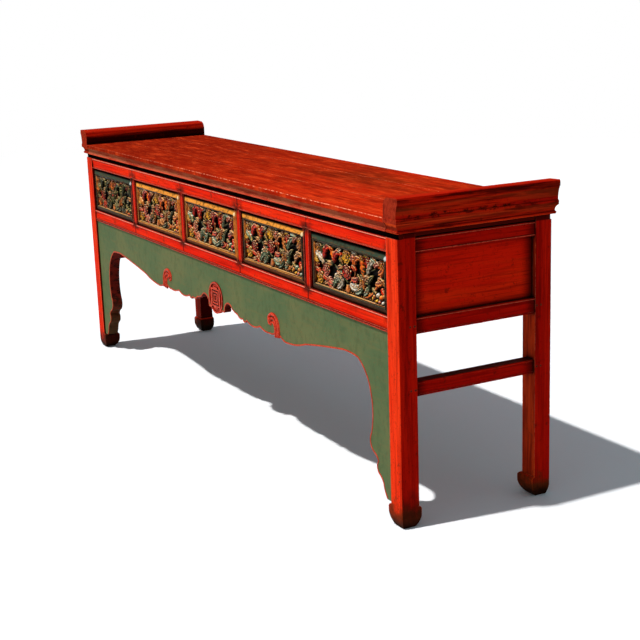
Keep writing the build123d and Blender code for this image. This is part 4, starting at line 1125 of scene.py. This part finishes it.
# ======== beads of the frame
def make_frame_beads(made):
    """Fine raised beads along the edges of the rails and stiles."""
    upper, lower, width, rise = upper_rail, lower_rail, 0.0026, 0.0006
    near, far = 0.003, 0.004                # from the edge that a bead follows
    stiles = sorted((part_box(f"stile_{i}") for i in range(1, 5)), key=lambda box: box[0].x)
    stops = [-leg_inner_x, *(x for box in stiles for x in (box[0].x, box[1].x)), leg_inner_x]
    bays = list(zip(stops[0::2], stops[1::2]))
    # pink on the beads along the upper edges of the front rails is a painted highlight
    paints = ["bead_pink_highlight", "bead_red"]
    profile = ((-0.5, -0.4), (-0.5, 0.1), (-0.25, 0.85), (0.25, 0.85), (0.5, 0.1), (0.5, -0.4))
    mesh = bmesh.new()

    def bead(start, end, out, paint):
        """Half-round strip between two places on a face that looks along out."""
        side = (Vector(end) - Vector(start)).normalized().cross(out)
        rings = [
            [
                mesh.verts.new(Vector(place) + side * width * across + out * rise * up)
                for across, up in profile
            ]
            for place in (start, end)
        ]
        for corners in (*rings, *strips(rings)):
            mesh.faces.new(corners).material_index = paints.index(paint)

    front, face = Vector((0, -1, 0)), upper[0].y
    for height, paint in (
        (upper[1].z - far, "bead_pink_highlight"),
        (lower[0].z + near, "bead_red"),
        (lower[0].z + 0.009, "bead_red"),
    ):
        bead((-leg_inner_x, face, height), (leg_inner_x, face, height), front, paint)
    for left, right in bays:
        for height, paint in ((upper[0].z + near, "bead_red"), (lower[1].z - near, "bead_pink_highlight")):
            bead((left, face, height), (right, face, height), front, paint)
    for box in stiles:
        for x in (box[0].x + near, box[1].x - near):
            bead((x, face, lower[1].z), (x, face, upper[0].z), front, "bead_red")
    for side_name, way in (("left", -1), ("right", 1)):
        high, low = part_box(f"end_upper_rail_{side_name}"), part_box(f"end_lower_rail_{side_name}")
        out = Vector((way, 0, 0))
        for box, height in ((high, high[0].z + far), (high, high[1].z - far), (low, low[1].z - far)):
            x = box[1].x if way > 0 else box[0].x
            bead((x, -LEG_GAP, height), (x, LEG_GAP, height), out, "bead_red")
    piece = mesh_piece("frame_beads", mesh, [made[paint] for paint in paints])
    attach(piece, "frame")


# ======== stage
def make_stage():
    """Pale floor that rises far away into a white backdrop."""
    floor = Coat("floor", roughness=0.9, specular=0.0)
    path = floor.node("LightPath", {})
    seen = floor.either(path.outputs["Is Camera Ray"], path.outputs["Is Glossy Ray"])
    seen = floor.either(seen, path.outputs["Is Transmission Ray"])
    floor.colour = floor.mix(seen, (0.6, 0.6, 0.6, 1), (0.96, 0.96, 0.97, 1))
    floor.done()
    fade = (4.0, 9.0)                       # distances where the floor turns into the backdrop
    away = floor.math("SQRT", floor.math("ADD", floor.both(floor.x, floor.x), floor.both(floor.y, floor.y)))
    glow = floor.node("Emission", {"Color": (1, 1, 1, 1), "Strength": 1.0})
    surface = floor.node("MixShader", {
        0: floor.both(seen, floor.step(away, *fade)), 1: floor.shader.outputs[0], 2: glow.outputs[0]})
    floor.tree.links.new(surface.outputs[0], floor.tree.nodes["Material Output"].inputs["Surface"])

    rings = [(2.0, FLOOR_Z), (6.0, FLOOR_Z), (14.0, FLOOR_Z), (20.0, 0.3), (26.0, 1.4), (32.0, 3.5)]
    spokes = 64
    mesh = bmesh.new()
    centre = mesh.verts.new((0, 0, FLOOR_Z))
    rows = [
        [mesh.verts.new((reach * math.cos(a), reach * math.sin(a), up)) for a in around(spokes)]
        for reach, up in rings
    ]
    for i in range(spokes):
        j = (i + 1) % spokes
        mesh.faces.new((centre, rows[0][i], rows[0][j]))
        for inner, outer in zip(rows, rows[1:]):
            mesh.faces.new((inner[i], outer[i], outer[j], inner[j]))
    piece = mesh_piece("floor", mesh, [floor.material], recalc=False)


def make_lamp(name, kind, energy, aim):
    """A lamp that shines along the aim."""
    light = bpy.data.lights.new(name, kind)
    light.energy = energy
    lamp = bpy.data.objects.new(name, light)
    lamp.rotation_euler = Vector(aim).to_track_quat("-Z", "Y").to_euler()
    bpy.context.scene.collection.objects.link(lamp)
    return lamp


def make_lights():
    """One soft sun from the front left, a broad fill in front, and a sky that is brighter overhead."""
    make_lamp("sun", "SUN", energy=3.2, aim=(0.07, 0.51, -1)).data.angle = math.radians(1.6)
    fill = make_lamp("fill", "AREA", energy=12, aim=(0, 1, 0))
    fill.location = (0.0, -4.2, 0.6)
    fill.data.shape = "RECTANGLE"
    fill.data.size, fill.data.size_y = 5.0, 0.7

    world = bpy.data.worlds.new("world")
    bpy.context.scene.world = world
    world.use_nodes = True
    tree = world.node_tree
    direction = add_node(tree, "TexCoord", {}).outputs["Generated"]
    height = add_node(tree, "SeparateXYZ", {0: direction}).outputs["Z"]
    rise = add_node(tree, "MapRange", {
        "Value": height, "From Min": 0.05, "From Max": 0.9, "To Min": 0.11, "To Max": 0.345,
    })
    seen = add_node(tree, "LightPath", {}).outputs["Is Camera Ray"]
    level = add_node(tree, "Mix", {"Factor": seen, "A": rise.outputs["Result"], "B": 1.0})
    tint = add_node(tree, "MixRGB", {"Fac": seen, "Color1": (0.74, 0.91, 1, 1), "Color2": (1, 1, 1, 1)})
    tree.links.new(level.outputs["Result"], tree.nodes["Background"].inputs["Strength"])
    tree.links.new(tint.outputs["Color"], tree.nodes["Background"].inputs["Color"])
    bpy.context.scene.view_settings.view_transform = "Standard"


# ======== the scene
make_camera()
made = finishes()
finish_cad_pieces(made)
for number in DRAWERS:
    make_carving(number, made)
for side_name in ("left", "right"):
    make_scroll(side_name, made)
make_edge_line(made)
make_frame_beads(made)
make_stage()
make_lights()
